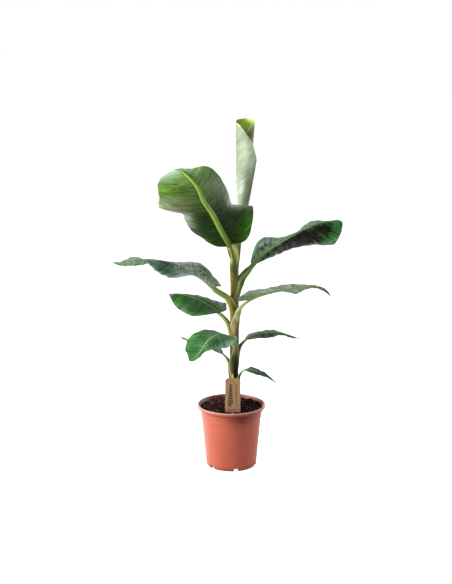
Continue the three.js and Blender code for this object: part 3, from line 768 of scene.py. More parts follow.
def stalk_tints(name, points, top, turn, share, along, loose):
    """Colours of a stalk: the stem's own on the sheath, and hems along the sheath's margins"""
    colours = paint(np.sin(turn), along, PAINT[name]["stalk"])
    height = points[..., 2]
    heading = np.degrees(np.arctan2(points[..., 1], points[..., 0] - section_at(STEM, height)[0]))
    on_stalk = along < 1
    own = np.where(on_stalk, np.minimum(1, OWN_COLOUR * loose), 1)[..., None]
    colours = own * colours + (1 - own) * paint(heading, height, STEM_PAINT)
    if name in STALK_WEB:
        web = share**2 * np.clip((height - top) / WEB_RISE, 0, 1) * on_stalk
        # The web's colour fades out towards its margin at share -1, which stays darker as painted shade
        blend(colours, WEB_COLOUR[name], 0.95 * web * np.clip((share + 1.05) / 0.35, 0, 1))
    hem = (1 - 0.75 * loose) * on_stalk
    blend(colours, SHEATH_EDGE, 0.8 * near(np.abs(share), 0.88, 0.06) * hem)
    blend(colours, SHEATH_SHADOW, 0.85 * near(np.abs(share), 1, 0.05) * hem)
    return colours


def add_stalk(name, leaf, line):
    """A leaf's sheath, stalk and midrib in one piece, from the stem to the tip"""
    joint = line[3]
    top = leaf["base"] + SHEATH_SHARE * leaf["sheath"]
    steps = np.concatenate([np.linspace(0, joint, 61)[:-1], np.linspace(joint, PATH_STEPS, 101)])
    turn = round_turns(RIB_SIDES)
    swell = STALK_SWELL.get(name, 1)
    place = frame_at(line, steps)[0]
    height = place[:, 2:]
    leave = place[np.argmax(height > top)]
    heading = math.atan2(leave[1], leave[0] - section_at(STEM, top)[0])
    heading += math.radians(SHEATH_TURN.get(name, 0))
    held, share = sheath_sections(leaf, top, heading, height, turn, swell)
    late = STALK_WEB.get(name, 0) * share**4
    loose = np.clip((height - top - late) / SHEATH_BLEND + SHEATH_LOOSE, 0, 1)
    loose = loose**2 * (3 - 2 * loose)
    loose[np.argmax(loose.min(1)) :] = 1
    points = held + loose[..., None] * (stalk_sections(leaf, line, steps, turn, swell) - held)
    lowest = min(leaf["base"], top - SHEATH_DROP) - SHEATH_FOOT
    foot = np.linspace(lowest, leaf["base"], 13)[:-1, None]
    points = np.concatenate([sheath_sections(leaf, top, heading, foot, turn, swell)[0], points])
    loose = np.concatenate([0 * foot * turn, loose])
    along = np.clip(steps / joint, 0, 1) + np.clip((steps - joint) / (PATH_STEPS - joint), 0, 1)
    along = np.concatenate([0 * foot[:, 0], along])[:, None]
    piece = make_tube(name + "_stalk", points, STALK)
    put_tint(piece, stalk_tints(name, points, top, turn, share, along, loose))
    distance = steps / PATH_STEPS * (leaf["stalk"] + leaf["blade"])
    distance = np.concatenate([foot[:, 0] - leaf["base"], distance])[:, None]
    put_veins(piece, stacked(distance * MM, turn))
    return ready(piece, "stalk", name + "_stalk")


def add_stem():
    """Stem of layered sheaths"""
    foot, top = STEM[0][0], STEM[-1][0]
    height = np.linspace(foot, top, int((top - foot) / STEM_ROW) + 1)[:, None]
    turn = np.linspace(-math.pi, math.pi, STEM_SIDES + 1)[None, :-1]
    x, radius = section_at(STEM, height)
    flutes = sum(depth * np.sin(turn * count + height / lean) for depth, count, lean in FLUTES)
    piece = make_tube("pseudostem", around(x, 0, radius + flutes, turn, height), SHEATH)
    put_tint(piece, paint(np.degrees(turn), height, STEM_PAINT))
    put_veins(piece, stacked(height * MM, turn))
    return ready(piece, "stem", "pseudostem")


# Looks: patterns in lumps a metre, along and across the veins, and how much the mesh's values add to them
STREAKS = (130, 22, 1)
FINE_STREAKS = (420, 40, 1)
SPOTS = (96, 44, 1)
SPOT_SHARE = 0.55
GLINTS = (170, 55, 1)
GLINT_SHARE = 0.26
GLINT_COLOUR = (196, 208, 200)
NET_CELLS = (88, 66, 1)
NET_SHARE = 0.6
BANDS_A_METRE = 0.314
FLECK_COLOUR = (70, 42, 28)
SCUFF_COLOUR = (222, 146, 124)


def blade_look(name, roughness, vein_light, vein_share, spot, relief, gloss, streaks, spacing=VEIN_SPACING):
    """Blade with streaks along its veins, faint lighter veins, and dark spots, and painted highlights as pale
    glints and a pale net, where the mesh asks for them"""
    look = Look(name, True, Coat_Weight=gloss, Coat_Roughness=0.25, Specular_IOR_Level=0.12)
    tint = look.read("tint", "Color")
    fine = look.noise(FINE_STREAKS, 4, 0.6)
    faint = 1 - min(0.5, 1.4 * streaks)
    coarse = look.ramp(look.noise(STREAKS, 3), (0.36, 1 - streaks), (0.64, 1.0))
    shade = look.mix(1.0, coarse, look.ramp(fine, (0.34, faint), (0.66, 1.0)), "MULTIPLY")
    colour = look.mix(1.0, tint, shade, "MULTIPLY")
    mean = (1 + faint) / 2 * (1 - 0.5 * streaks)
    colour = look.mix(1.0, colour, look.grey(mean), "DIVIDE")
    veins = look.bands(BANDS_A_METRE / (spacing * MM), 1.2, 30)
    lines = look.ramp(veins, (0.8, 0.0), (1.0, vein_share))
    lines = look.maths("MULTIPLY", lines, look.ramp(fine, (0.4, 0.2), (0.6, 1.0)))
    colour = look.mix(lines, colour, look.mix(0.5, tint, vein_light))
    spots = look.noise(SPOTS, 5, 0.66)
    colour = look.speckled(colour, spots, "spots", SPOT_SHARE, ((0.7, 0.0), (0.84, 0.95)), spot)
    # Glints and the net below are painted highlights: reflections laid on as pale colour
    glint = look.noise(GLINTS, 3, 0.6)
    stops = ((0.74, 0.0), (0.9, 0.85))
    colour = look.speckled(colour, glint, "glints", GLINT_SHARE, stops, GLINT_COLOUR)
    net = look.ramp(look.cells(NET_CELLS), (0.03, 1.0), (0.13, 0.0))
    net = look.maths("MULTIPLY", net, look.read("glints"))
    net = look.maths("MULTIPLY", net, look.ramp(glint, (0.35, 0.0), (0.6, NET_SHARE)))
    colour = look.mix(net, colour, GLINT_COLOUR)
    pattern = look.mix(0.45, fine, veins)
    return look.finish(colour, (fine, roughness - 0.1, roughness + 0.14), (pattern, relief, 0.0006))


def streaked_look(name, relief):
    """Stalks and sheaths: the mesh's colours with long fine streaks and small dark flecks"""
    look = Look(name, True, Coat_Weight=0.05, Coat_Roughness=0.3, Specular_IOR_Level=0.15)
    fine = look.noise((22, 6, 1), 5, 0.65)
    long = look.noise((9, 2.2, 1), 2)
    shade = look.mix(0.5, look.ramp(fine, (0.3, 0.6), (0.7, 1.0)), look.ramp(long, (0.3, 0.65), (0.7, 1.0)))
    colour = look.mix(1.0, look.read("tint", "Color"), shade, "MULTIPLY")
    colour = look.mix(1.0, colour, (220, 220, 220), "DIVIDE")
    fleck = look.ramp(look.noise((150, 5, 1), 3, 0.6), (0.64, 0.0), (0.72, 0.55))
    colour = look.mix(fleck, colour, FLECK_COLOUR)
    return look.finish(colour, (fine, 0.37, 0.57), (fine, relief, 0.0005))


def plastic_look():
    """Dull plastic with a faint bloom and upright scuffs"""
    look = Look("pot_plastic", Specular_IOR_Level=0.3, Sheen_Weight=0.25, Sheen_Roughness=0.35)
    cloud = look.noise(14, 3)
    grain = look.noise(900, 2)
    shade = look.ramp(cloud, (0.25, 0.88), (0.75, 1.0))
    colour = look.mix(1.0, look.read("tint", "Color"), shade, "MULTIPLY")
    scuff = look.ramp(look.noise((30, 30, 160), 5, 0.7), (0.62, 0.0), (0.8, 0.35))
    colour = look.mix(scuff, colour, SCUFF_COLOUR)
    return look.finish(colour, (look.mix(0.5, cloud, grain), 0.34, 0.56), (grain, 0.12, 0.0003))


def earth_look(name, dark, light):
    look = Look(name, Specular_IOR_Level=0.1)
    lumps = look.noise(260, 5, 0.7)
    return look.finish(look.ramp(lumps, (0.3, dark), (0.75, light)), (lumps, 0.75, 1.0), (lumps, 0.8, 0.002))


def card_look():
    look = Look("kraft_card")
    fibres = look.noise((900, 900, 260), 4, 0.7)
    colour = look.ramp(fibres, (0.25, (160, 120, 82)), (0.75, (198, 160, 118)))
    colour = look.mix(look.ramp(look.noise(60, 3), (0.35, 0.0), (0.75, 0.4)), colour, (138, 104, 64))
    return look.finish(colour, (fibres, 0.7, 0.95), (fibres, 0.25, 0.0003))


def ink_look(name, dark, light):
    look = Look(name)
    fade = look.noise(700, 3)
    return look.finish(look.ramp(fade, (0.3, dark), (0.75, light)), (fade, 0.6, 0.85))


def wood_look():
    look = Look("stick_wood")
    grain = look.noise((1100, 1100, 34), 4, 0.6)
    colour = look.ramp(grain, (0.3, (196, 164, 116)), (0.7, (232, 208, 166)))
    return look.finish(colour, (grain, 0.6, 0.85), (grain, 0.3, 0.0003))


BLADE_UPPER = blade_look("blade_upper", 0.46, (176, 205, 160), 0.3, (32, 14, 16), 0.5, 0.02, 0.6)
BLADE_LOWER = blade_look("blade_lower", 0.55, (170, 190, 140), 0.3, (64, 50, 22), 0.45, 0.0, 0.5)
STALK = streaked_look("stalk", 0.35)
SHEATH = streaked_look("sheath", 0.5)
ROLLED = blade_look("rolled_outside", 0.5, (232, 240, 220), 0.7, (120, 110, 80), 0.5, 0.05, 0.3, 5.5)
ROLLED_INSIDE = blade_look("rolled_inside", 0.5, (214, 224, 90), 0.4, (120, 100, 30), 0.4, 0.05, 0.3)
TERRACOTTA = plastic_look()
EARTH = earth_look("earth", (16, 6, 5), (58, 28, 20))
KRAFT = card_look()
WOOD = wood_look()


# Rolled youngest leaf


def roll_points(turned, height, depth):
    """Places on the rolled sheet, a number of degrees round from its free edge"""
    x, radius = section_at(ROLL, height)
    shallow, deep = ROLL_LAP_DEPTH
    low, high = ROLL_LAP_HEIGHTS
    first, last = ROLL_LAP
    under = np.clip((turned - first) / (last - first), 0, 1)
    inward = under * (deep + (shallow - deep) * np.clip((height - low) / (high - low), 0, 1))
    inward = inward + ROLL_WIND * np.clip((turned - last) / (ROLL_TURNS[-1] - last), 0, 1)
    reach = radius - np.minimum(inward, ROLL_MOST * radius) - depth
    return around(x, 0, reach, np.radians(ROLL_FREE_EDGE - turned), height)


def add_rolled_leaf():
    turned = np.linspace(0, ROLL_TURNS[-1], ROLL_COLUMNS)[None]
    nearby = [np.interp(turned + step, ROLL_TURNS, ROLL_DROPS) for step in RIM_STEPS]
    rim = ROLL_TOP - np.mean(nearby, 0)
    up = np.linspace(0, 1, ROLL_ROWS)[:, None]
    foot = ROLL[0][0] - ROLL_SUNK
    height = foot + (rim - foot) * up
    arc = np.radians(turned) * ROLL_ARC_RADIUS
    vein = height - ROLL_VEIN_RISE * np.abs(arc - ROLL_RIB_ARC)
    crest = ROLL_RELIEF * np.cos(FULL_TURN * vein / VEIN_SPACING) * np.sin(np.pi * up)
    points = [roll_points(turned, height, -crest), roll_points(turned, height, SHEET - crest)]
    faces = sheet_faces(*height.shape, flip=True)
    looks = [ROLLED, ROLLED_INSIDE, ROLLED]
    kinds = face_kinds(faces, range(3))
    piece = make_mesh("leaf_10_rolled", points, np.concatenate(faces), looks, kinds)
    tints = [paint(turned, height, side) for side in ROLL_PAINT]
    blend(tints[0], ROLL_EDGE, 0.85 * near(height, rim, ROLL_EDGE_WIDTH))
    put_tint(piece, tints)
    put_veins(piece, [stacked(vein, arc) * MM] * 2)
    return ready(piece, "leaf", "leaf_10_rolled")


def add_thread():
    """Dried thread at the rolled leaf's tip"""
    share = np.linspace(0, 1, 15)[:, None]
    height = ROLL_TOP + 2 + THREAD_LENGTH * share
    radius = THREAD_RADIUS * (1 - 0.85 * share)
    points = around(THREAD_X + THREAD_BEND * share**2, THREAD_Y, radius, round_turns(8), height)
    return ready(make_tube("leaf_10_thread", points, WOOD), "leaf")


# Pot, soil, tag and stick


def softened(profile, reach):
    """The profile with each corner rounded off"""
    profile = np.array(profile, float)
    points = []
    for before, corner, after in zip(np.roll(profile, 1, 0), profile, np.roll(profile, -1, 0)):
        to_before, to_after = before - corner, after - corner
        cut = min(reach, 0.4 * np.linalg.norm(to_before), 0.4 * np.linalg.norm(to_after))
        if corner[0] == 0 or cut == 0:
            points.append(corner)
            continue
        first, last = corner + unit(to_before) * cut, corner + unit(to_after) * cut
        for t in (0, 0.25, 0.5, 0.75, 1):
            points.append((1 - t) ** 2 * first + 2 * t * (1 - t) * corner + t**2 * last)
    return np.array(points)


def lathe(name, profile, sides, material):
    """Closed body from a closed profile of (radius, height), turned round the middle"""
    points = around(0, 0, profile[:, 0], round_turns(sides).T, profile[:, 1])
    faces = quads(sides + 1, len(profile), closed=True) % (sides * len(profile))
    piece = make_mesh(name, points, faces, [material])
    face_outward(piece, merge=True)
    return piece


def turned_by(angle):
    """Matrix that turns points round the upright"""
    c, s = math.cos(angle), math.sin(angle)
    return np.array([(c, s, 0), (-s, c, 0), (0, 0, 1)])


BOX_POINTS = np.array([(x, y, z) for x in (-1, 1) for y in (-1, 1) for z in (-1, 1)], float)
BOX_FACES = np.array([(0, 1, 3, 2), (4, 6, 7, 5), (0, 4, 5, 1), (2, 3, 7, 6), (0, 2, 6, 4), (1, 5, 7, 3)])


def with_rows(profile, spacing):
    """The same outline with its long straight parts cut into short ones"""
    rows = [profile[0]]
    for start, end in zip(profile[:-1], profile[1:]):
        count = max(1, math.ceil(math.dist(start, end) / spacing))
        rows += [start + (end - start) * i / count for i in range(1, count + 1)]
    return np.array(rows)


def add_pot():
    profile = with_rows(softened(POT_OUTSIDE + POT_INSIDE, POT_ROUNDING), POT_ROW)
    piece = lathe("pot", profile, POT_SIDES, TERRACOTTA)
    box = BOX_POINTS * (NOTCH_DEPTH, NOTCH_WIDTH / 2, NOTCH_HEIGHT)
    turns = [math.radians(FIRST_NOTCH_HEADING + i * 360 / NOTCHES) for i in range(NOTCHES)]
    middles = [FOOT_RADIUS * np.array([math.cos(turn), math.sin(turn), 0]) for turn in turns]
    points = [box @ turned_by(turn) + middle for turn, middle in zip(turns, middles)]
    faces = np.concatenate([BOX_FACES + 8 * i for i in range(NOTCHES)])
    cutter = make_mesh("notches", points, faces, [TERRACOTTA])
    modifier = piece.modifiers.new("notches", "BOOLEAN")
    modifier.object, modifier.operation, modifier.solver = cutter, "DIFFERENCE", "EXACT"
    graph = bpy.context.evaluated_depsgraph_get()
    cut = bpy.data.meshes.new_from_object(piece.evaluated_get(graph))
    piece.modifiers.clear()
    piece.data = cut
    bpy.data.objects.remove(cutter)
    cut.set_sharp_from_angle(angle=math.radians(POT_CREASE))
    x, y, z = np.array([vertex.co for vertex in cut.vertices]).T / MM
    colours = paint(np.degrees(np.arctan2(y, x)), z, POT_PAINT)
    inside = (np.hypot(x, y) < POT_INSIDE[0][0] + 0.5) & (z > SOIL_LEVEL - 1)
    colours[inside] *= POT_INNER_SHADE
    put_tint(piece, colours)
    return ready(piece, "pot", "pot")


# Unevenness of the soil: height, size and seed. Crumbs keep clear of its edge and lie a little above it.
SOIL_BUMPS = [(1.8, 9, 1), (1.3, 3.2, 2), (0.7, 1.3, 3)]
RIPPLES = 6
CRUMB_EDGE = 5
CRUMB_RISE = 1.2
CRUMB_UNEVEN = (0.72, 1.18)
CRUMB_STRETCH = [(0.7, 1.5), (0.7, 1.1), (0.5, 0.9)]


def ripple(x, y, scale, seed):
    """Smooth unevenness from a few waves, from -1 to 1"""
    chance = random.Random(seed)
    value = 0
    for _ in range(RIPPLES):
        turn, phase = chance.uniform(0, FULL_TURN), chance.uniform(0, FULL_TURN)
        wave = scale * chance.uniform(0.6, 1.6)
        value = value + np.sin((x * math.cos(turn) + y * math.sin(turn)) / wave + phase)
    return value / RIPPLES


def soil_height(radius):
    """The soil rises from the pot's wall towards the stem"""
    return SOIL_LEVEL + SOIL_RISE * min(1, (SOIL_RADIUS - radius) / SOIL_SLOPE)


def add_soil():
    inside = [(radius - GAP, height + GAP) for radius, height in POT_INSIDE[3:-1]][::-1]
    wall = [(0, FLOOR + GAP)] + inside + [SOIL_LEDGE]
    top = [(radius, soil_height(radius)) for radius in np.linspace(SOIL_RADIUS - SOIL_EDGE, 0, SOIL_RINGS)]
    piece = lathe("potting_soil", np.array(wall + top), SOIL_SIDES, EARTH)
    place = np.empty(len(piece.data.vertices) * 3)
    piece.data.vertices.foreach_get("co", place)
    place = place.reshape(-1, 3) / MM
    x, y, z = place.T
    bumps = sum(high * ripple(x, y, wide, seed) for high, wide, seed in SOIL_BUMPS)
    place[:, 2] += np.where(z > SOIL_LEVEL - 0.5, bumps - 1, 0)
    piece.data.vertices.foreach_set("co", (place * MM).ravel())
    piece.data.update()
    return ready(piece, "soil", "potting_soil")


GOLDEN = (1 + 5**0.5) / 2
BALL_POINTS = np.array(
    [
        *[(-1, GOLDEN, 0), (1, GOLDEN, 0), (-1, -GOLDEN, 0), (1, -GOLDEN, 0)],
        *[(0, -1, GOLDEN), (0, 1, GOLDEN), (0, -1, -GOLDEN), (0, 1, -GOLDEN)],
        *[(GOLDEN, 0, -1), (GOLDEN, 0, 1), (-GOLDEN, 0, -1), (-GOLDEN, 0, 1)],
    ]
)
BALL_FACES = np.array(
    [
        *[(0, 11, 5), (0, 5, 1), (0, 1, 7), (0, 7, 10), (0, 10, 11)],
        *[(1, 5, 9), (5, 11, 4), (11, 10, 2), (10, 7, 6), (7, 1, 8)],
        *[(3, 9, 4), (3, 4, 2), (3, 2, 6), (3, 6, 8), (3, 8, 9)],
        *[(4, 9, 5), (2, 4, 11), (6, 2, 10), (8, 6, 7), (9, 8, 1)],
    ]
)


def lump(middle, size):
    """A crumb of soil: an uneven ball of few faces"""
    ball = unit(BALL_POINTS) * np.array([[draw.uniform(*CRUMB_UNEVEN)] for _ in BALL_POINTS])
    stretch = np.array([draw.uniform(*limits) for limits in CRUMB_STRETCH])
    return (ball * stretch * size) @ turned_by(draw.uniform(0, FULL_TURN)) + middle


def add_crumbs():
    """Loose crumbs on the soil, each shade in a piece of its own"""
    for name, dark, light, count, sizes in CRUMBS:
        points = []
        for _ in range(count):
            radius = (SOIL_RADIUS - CRUMB_EDGE) * math.sqrt(draw.random())
            turn = draw.uniform(0, FULL_TURN)
            size = draw.uniform(*sizes)
            x, y = radius * math.cos(turn), radius * math.sin(turn)
            # Pale crumbs gathered to the left make the soil's lit side lighter: painted light
            if name in PALE_CRUMBS and x > PALE_SIDE:
                x *= draw.choice((-1, -1, 1))
            height = soil_height(radius) + CRUMB_RISE * draw.random()
            points.append(lump(np.array([x, y, height]), size))
        faces = np.concatenate([BALL_FACES + len(BALL_POINTS) * i for i in range(count)])
        piece = make_mesh(name, points, faces, [earth_look(name, dark, light)], smooth=False)
        ready(piece, "soil")


def add_plates(name, outlines, thickness, front, material, slot, *nodes):
    """Flat plates in the tag's plane, their front faces at a Y, in one piece"""
    points, faces = [], []
    for shape in outlines:
        here, count = np.arange(len(shape)) + len(points), len(shape)
        after = np.roll(here, -1)
        points += [(x, y, z) for y in (front, front + thickness) for x, z in shape]
        faces += [here, (here + count)[::-1], *np.stack([after, here, here + count, after + count], -1)]
    piece = make_mesh(name, points, faces, [material], smooth=False)
    face_outward(piece)
    return ready(piece, slot, *nodes)


def leaf_outline(foot, angle, length, width):
    """Outline of a small printed leaf"""
    turn = math.radians(angle)
    along, across = np.array([math.cos(turn), math.sin(turn)]), np.array([-math.sin(turn), math.cos(turn)])
    share = np.linspace(0, 1, 9)[:, None]
    middle, side = foot + along * length * share, across * width * np.sin(np.pi * share) ** 0.8
    return np.concatenate([middle + side, (middle - side)[-2:0:-1]])[::-1]


def bar(x, z, width, height):
    return [(x, z), (x + width, z), (x + width, z + height), (x, z + height)]


def placed(shapes):
    """Outlines moved to the tag's place"""
    return [np.array(shape) + (TAG_X, TAG_BOTTOM) for shape in shapes]


def add_tag():
    """Card with its top corners cut off, a printed sprig and bars, from the middle and bottom of the card"""
    half, top = TAG_WIDTH / 2, TAG_HEIGHT
    corners = [(half, 0), (half, top - TAG_CORNER), (half - TAG_CORNER, top)]
    card = [(-x, z) for x, z in corners[:1]] + corners + [(-x, z) for x, z in corners[:0:-1]]
    front = TAG_Y - TAG_THICKNESS / 2
    foot = np.array([-7, 16])
    sprig = [bar(foot[0] - 0.7, foot[1], 1.4, SPRIG_HEIGHT)]
    for i in range(SPRIG_PAIRS):
        for side in (-1, 1):
            start = foot + (0, 5 + 8 * i + 3 * side)
            sprig.append(leaf_outline(start, 90 - side * 48, 11.5 - 0.7 * i, 2.6))
    sprig.append(leaf_outline(foot + (0, 65), 90, 10, 2.2))
    sprig += [bar(11.5, 20 + BAR_STEP * k, 2.0, 5.5 - k % 3) for k in range(BARS)]
    bars = [bar(7.5, 20 + BAR_STEP * k, 1.8, 6 - k % 2) for k in range(BARS)]
    bars.append(bar(-15, 7, 30, 1.6))
    tag = add_plates("label_tag", placed([card]), TAG_THICKNESS, front, KRAFT, "tag", "label_tag")
    tag.modifiers.new("edges", "BEVEL").width = TAG_BEVEL * MM
    front -= INK_THICKNESS
    dark = ink_look("ink_green", (36, 48, 32), (58, 72, 46))
    rust = ink_look("ink_rust", (112, 48, 34), (138, 70, 50))
    add_plates("tag_sprig", placed(sprig), INK_THICKNESS, front, dark, "tag")
    add_plates("tag_bars", placed(bars), INK_THICKNESS, front, rust, "tag")


def squared(wave):
    """Sine or cosine with a squarer shape"""
    return np.sign(wave) * np.abs(wave) ** STICK_SQUARENESS


def add_stick():
    """Flat wooden stick with a pointed top"""
    y = TAG_Y + TAG_THICKNESS / 2 + GAP + STICK_THICKNESS / 2
    tip = STICK_TOP - STICK_POINT
    heights = [STICK_FOOT, STICK_FOOT + 12, *np.linspace(150, tip, 30)]
    heights = np.array(heights + [*(STICK_TOP - STICK_POINT * (1 - np.linspace(0.15, 1, 8)))])[:, None]
    taper = np.clip((STICK_TOP - heights) / STICK_POINT, 0.02, 1) ** 0.55
    taper[0] = 0.35
    turn = round_turns(24)
    x = taper * squared(np.cos(turn)) * STICK_WIDTH / 2
    depth = np.minimum(1, taper * 2) * squared(np.sin(turn)) * STICK_THICKNESS / 2
    piece = make_tube("label_stick", stacked(TAG_X + x, y + depth, heights), WOOD)
    return ready(piece, "stick", "label_stick")


# Camera, floor and light


def add_camera():
    data = bpy.data.cameras.new("camera")
    data.lens = CAMERA_LENS
    camera = add_object("camera", data)
    camera.location = CAMERA_PLACE
    camera.rotation_euler = (math.radians(CAMERA_TILT), 0, 0)
    bpy.context.scene.camera = camera


def add_light(place, aim, size, power, spread):
    data = bpy.data.lights.new("softbox", "AREA")
    data.size, data.energy, data.spread = size, power, math.radians(spread)
    light = add_object("softbox", data)
    light.location = place
    direction = Vector(np.subtract(aim, place))
    light.rotation_euler = direction.to_track_quat("-Z", "Y").to_euler()


def add_floor():
    """Wide white floor that glows where the camera sees it"""
    size = FLOOR_SIZE / 2
    points = [(-size, -size, 0), (size, -size, 0), (size, size, 0), (-size, size, 0)]
    look = Look("floor")
    pale = look.noise(3, 3)
    look.shader.inputs["Emission Color"].default_value = rgba(WHITE)
    seen = look.add("LightPath", {}).outputs["Is Camera Ray"]
    look.link(look.maths("MULTIPLY", seen, FLOOR_GLOW), "Emission Strength")
    look.finish(look.ramp(pale, (0.3, (246, 246, 244)), (0.7, (250, 250, 249))), (pale, 0.8, 0.9))
    make_mesh("floor", points, [(0, 1, 2, 3)], [look.material])


def add_world():
    """White all round: dim as a light, bright where the camera sees it"""
    world = bpy.data.worlds.new("studio")
    world.use_nodes = True
    tree = world.node_tree
    light = tree.nodes["Background"]
    backdrop = tree.nodes.new("ShaderNodeBackground")
    for node, strength in ((light, WORLD_STRENGTH), (backdrop, 1.0)):
        node.inputs["Color"].default_value = rgba(WHITE)
        node.inputs["Strength"].default_value = strength
    seen = tree.nodes.new("ShaderNodeLightPath").outputs["Is Camera Ray"]
    mix = tree.nodes.new("ShaderNodeMixShader")
    for source, socket in ((seen, 0), (light.outputs[0], 1), (backdrop.outputs[0], 2)):
        tree.links.new(source, mix.inputs[socket])
    tree.links.new(mix.outputs[0], tree.nodes["World Output"].inputs["Surface"])
    bpy.context.scene.world = world
    bpy.context.scene.view_settings.view_transform = "Standard"
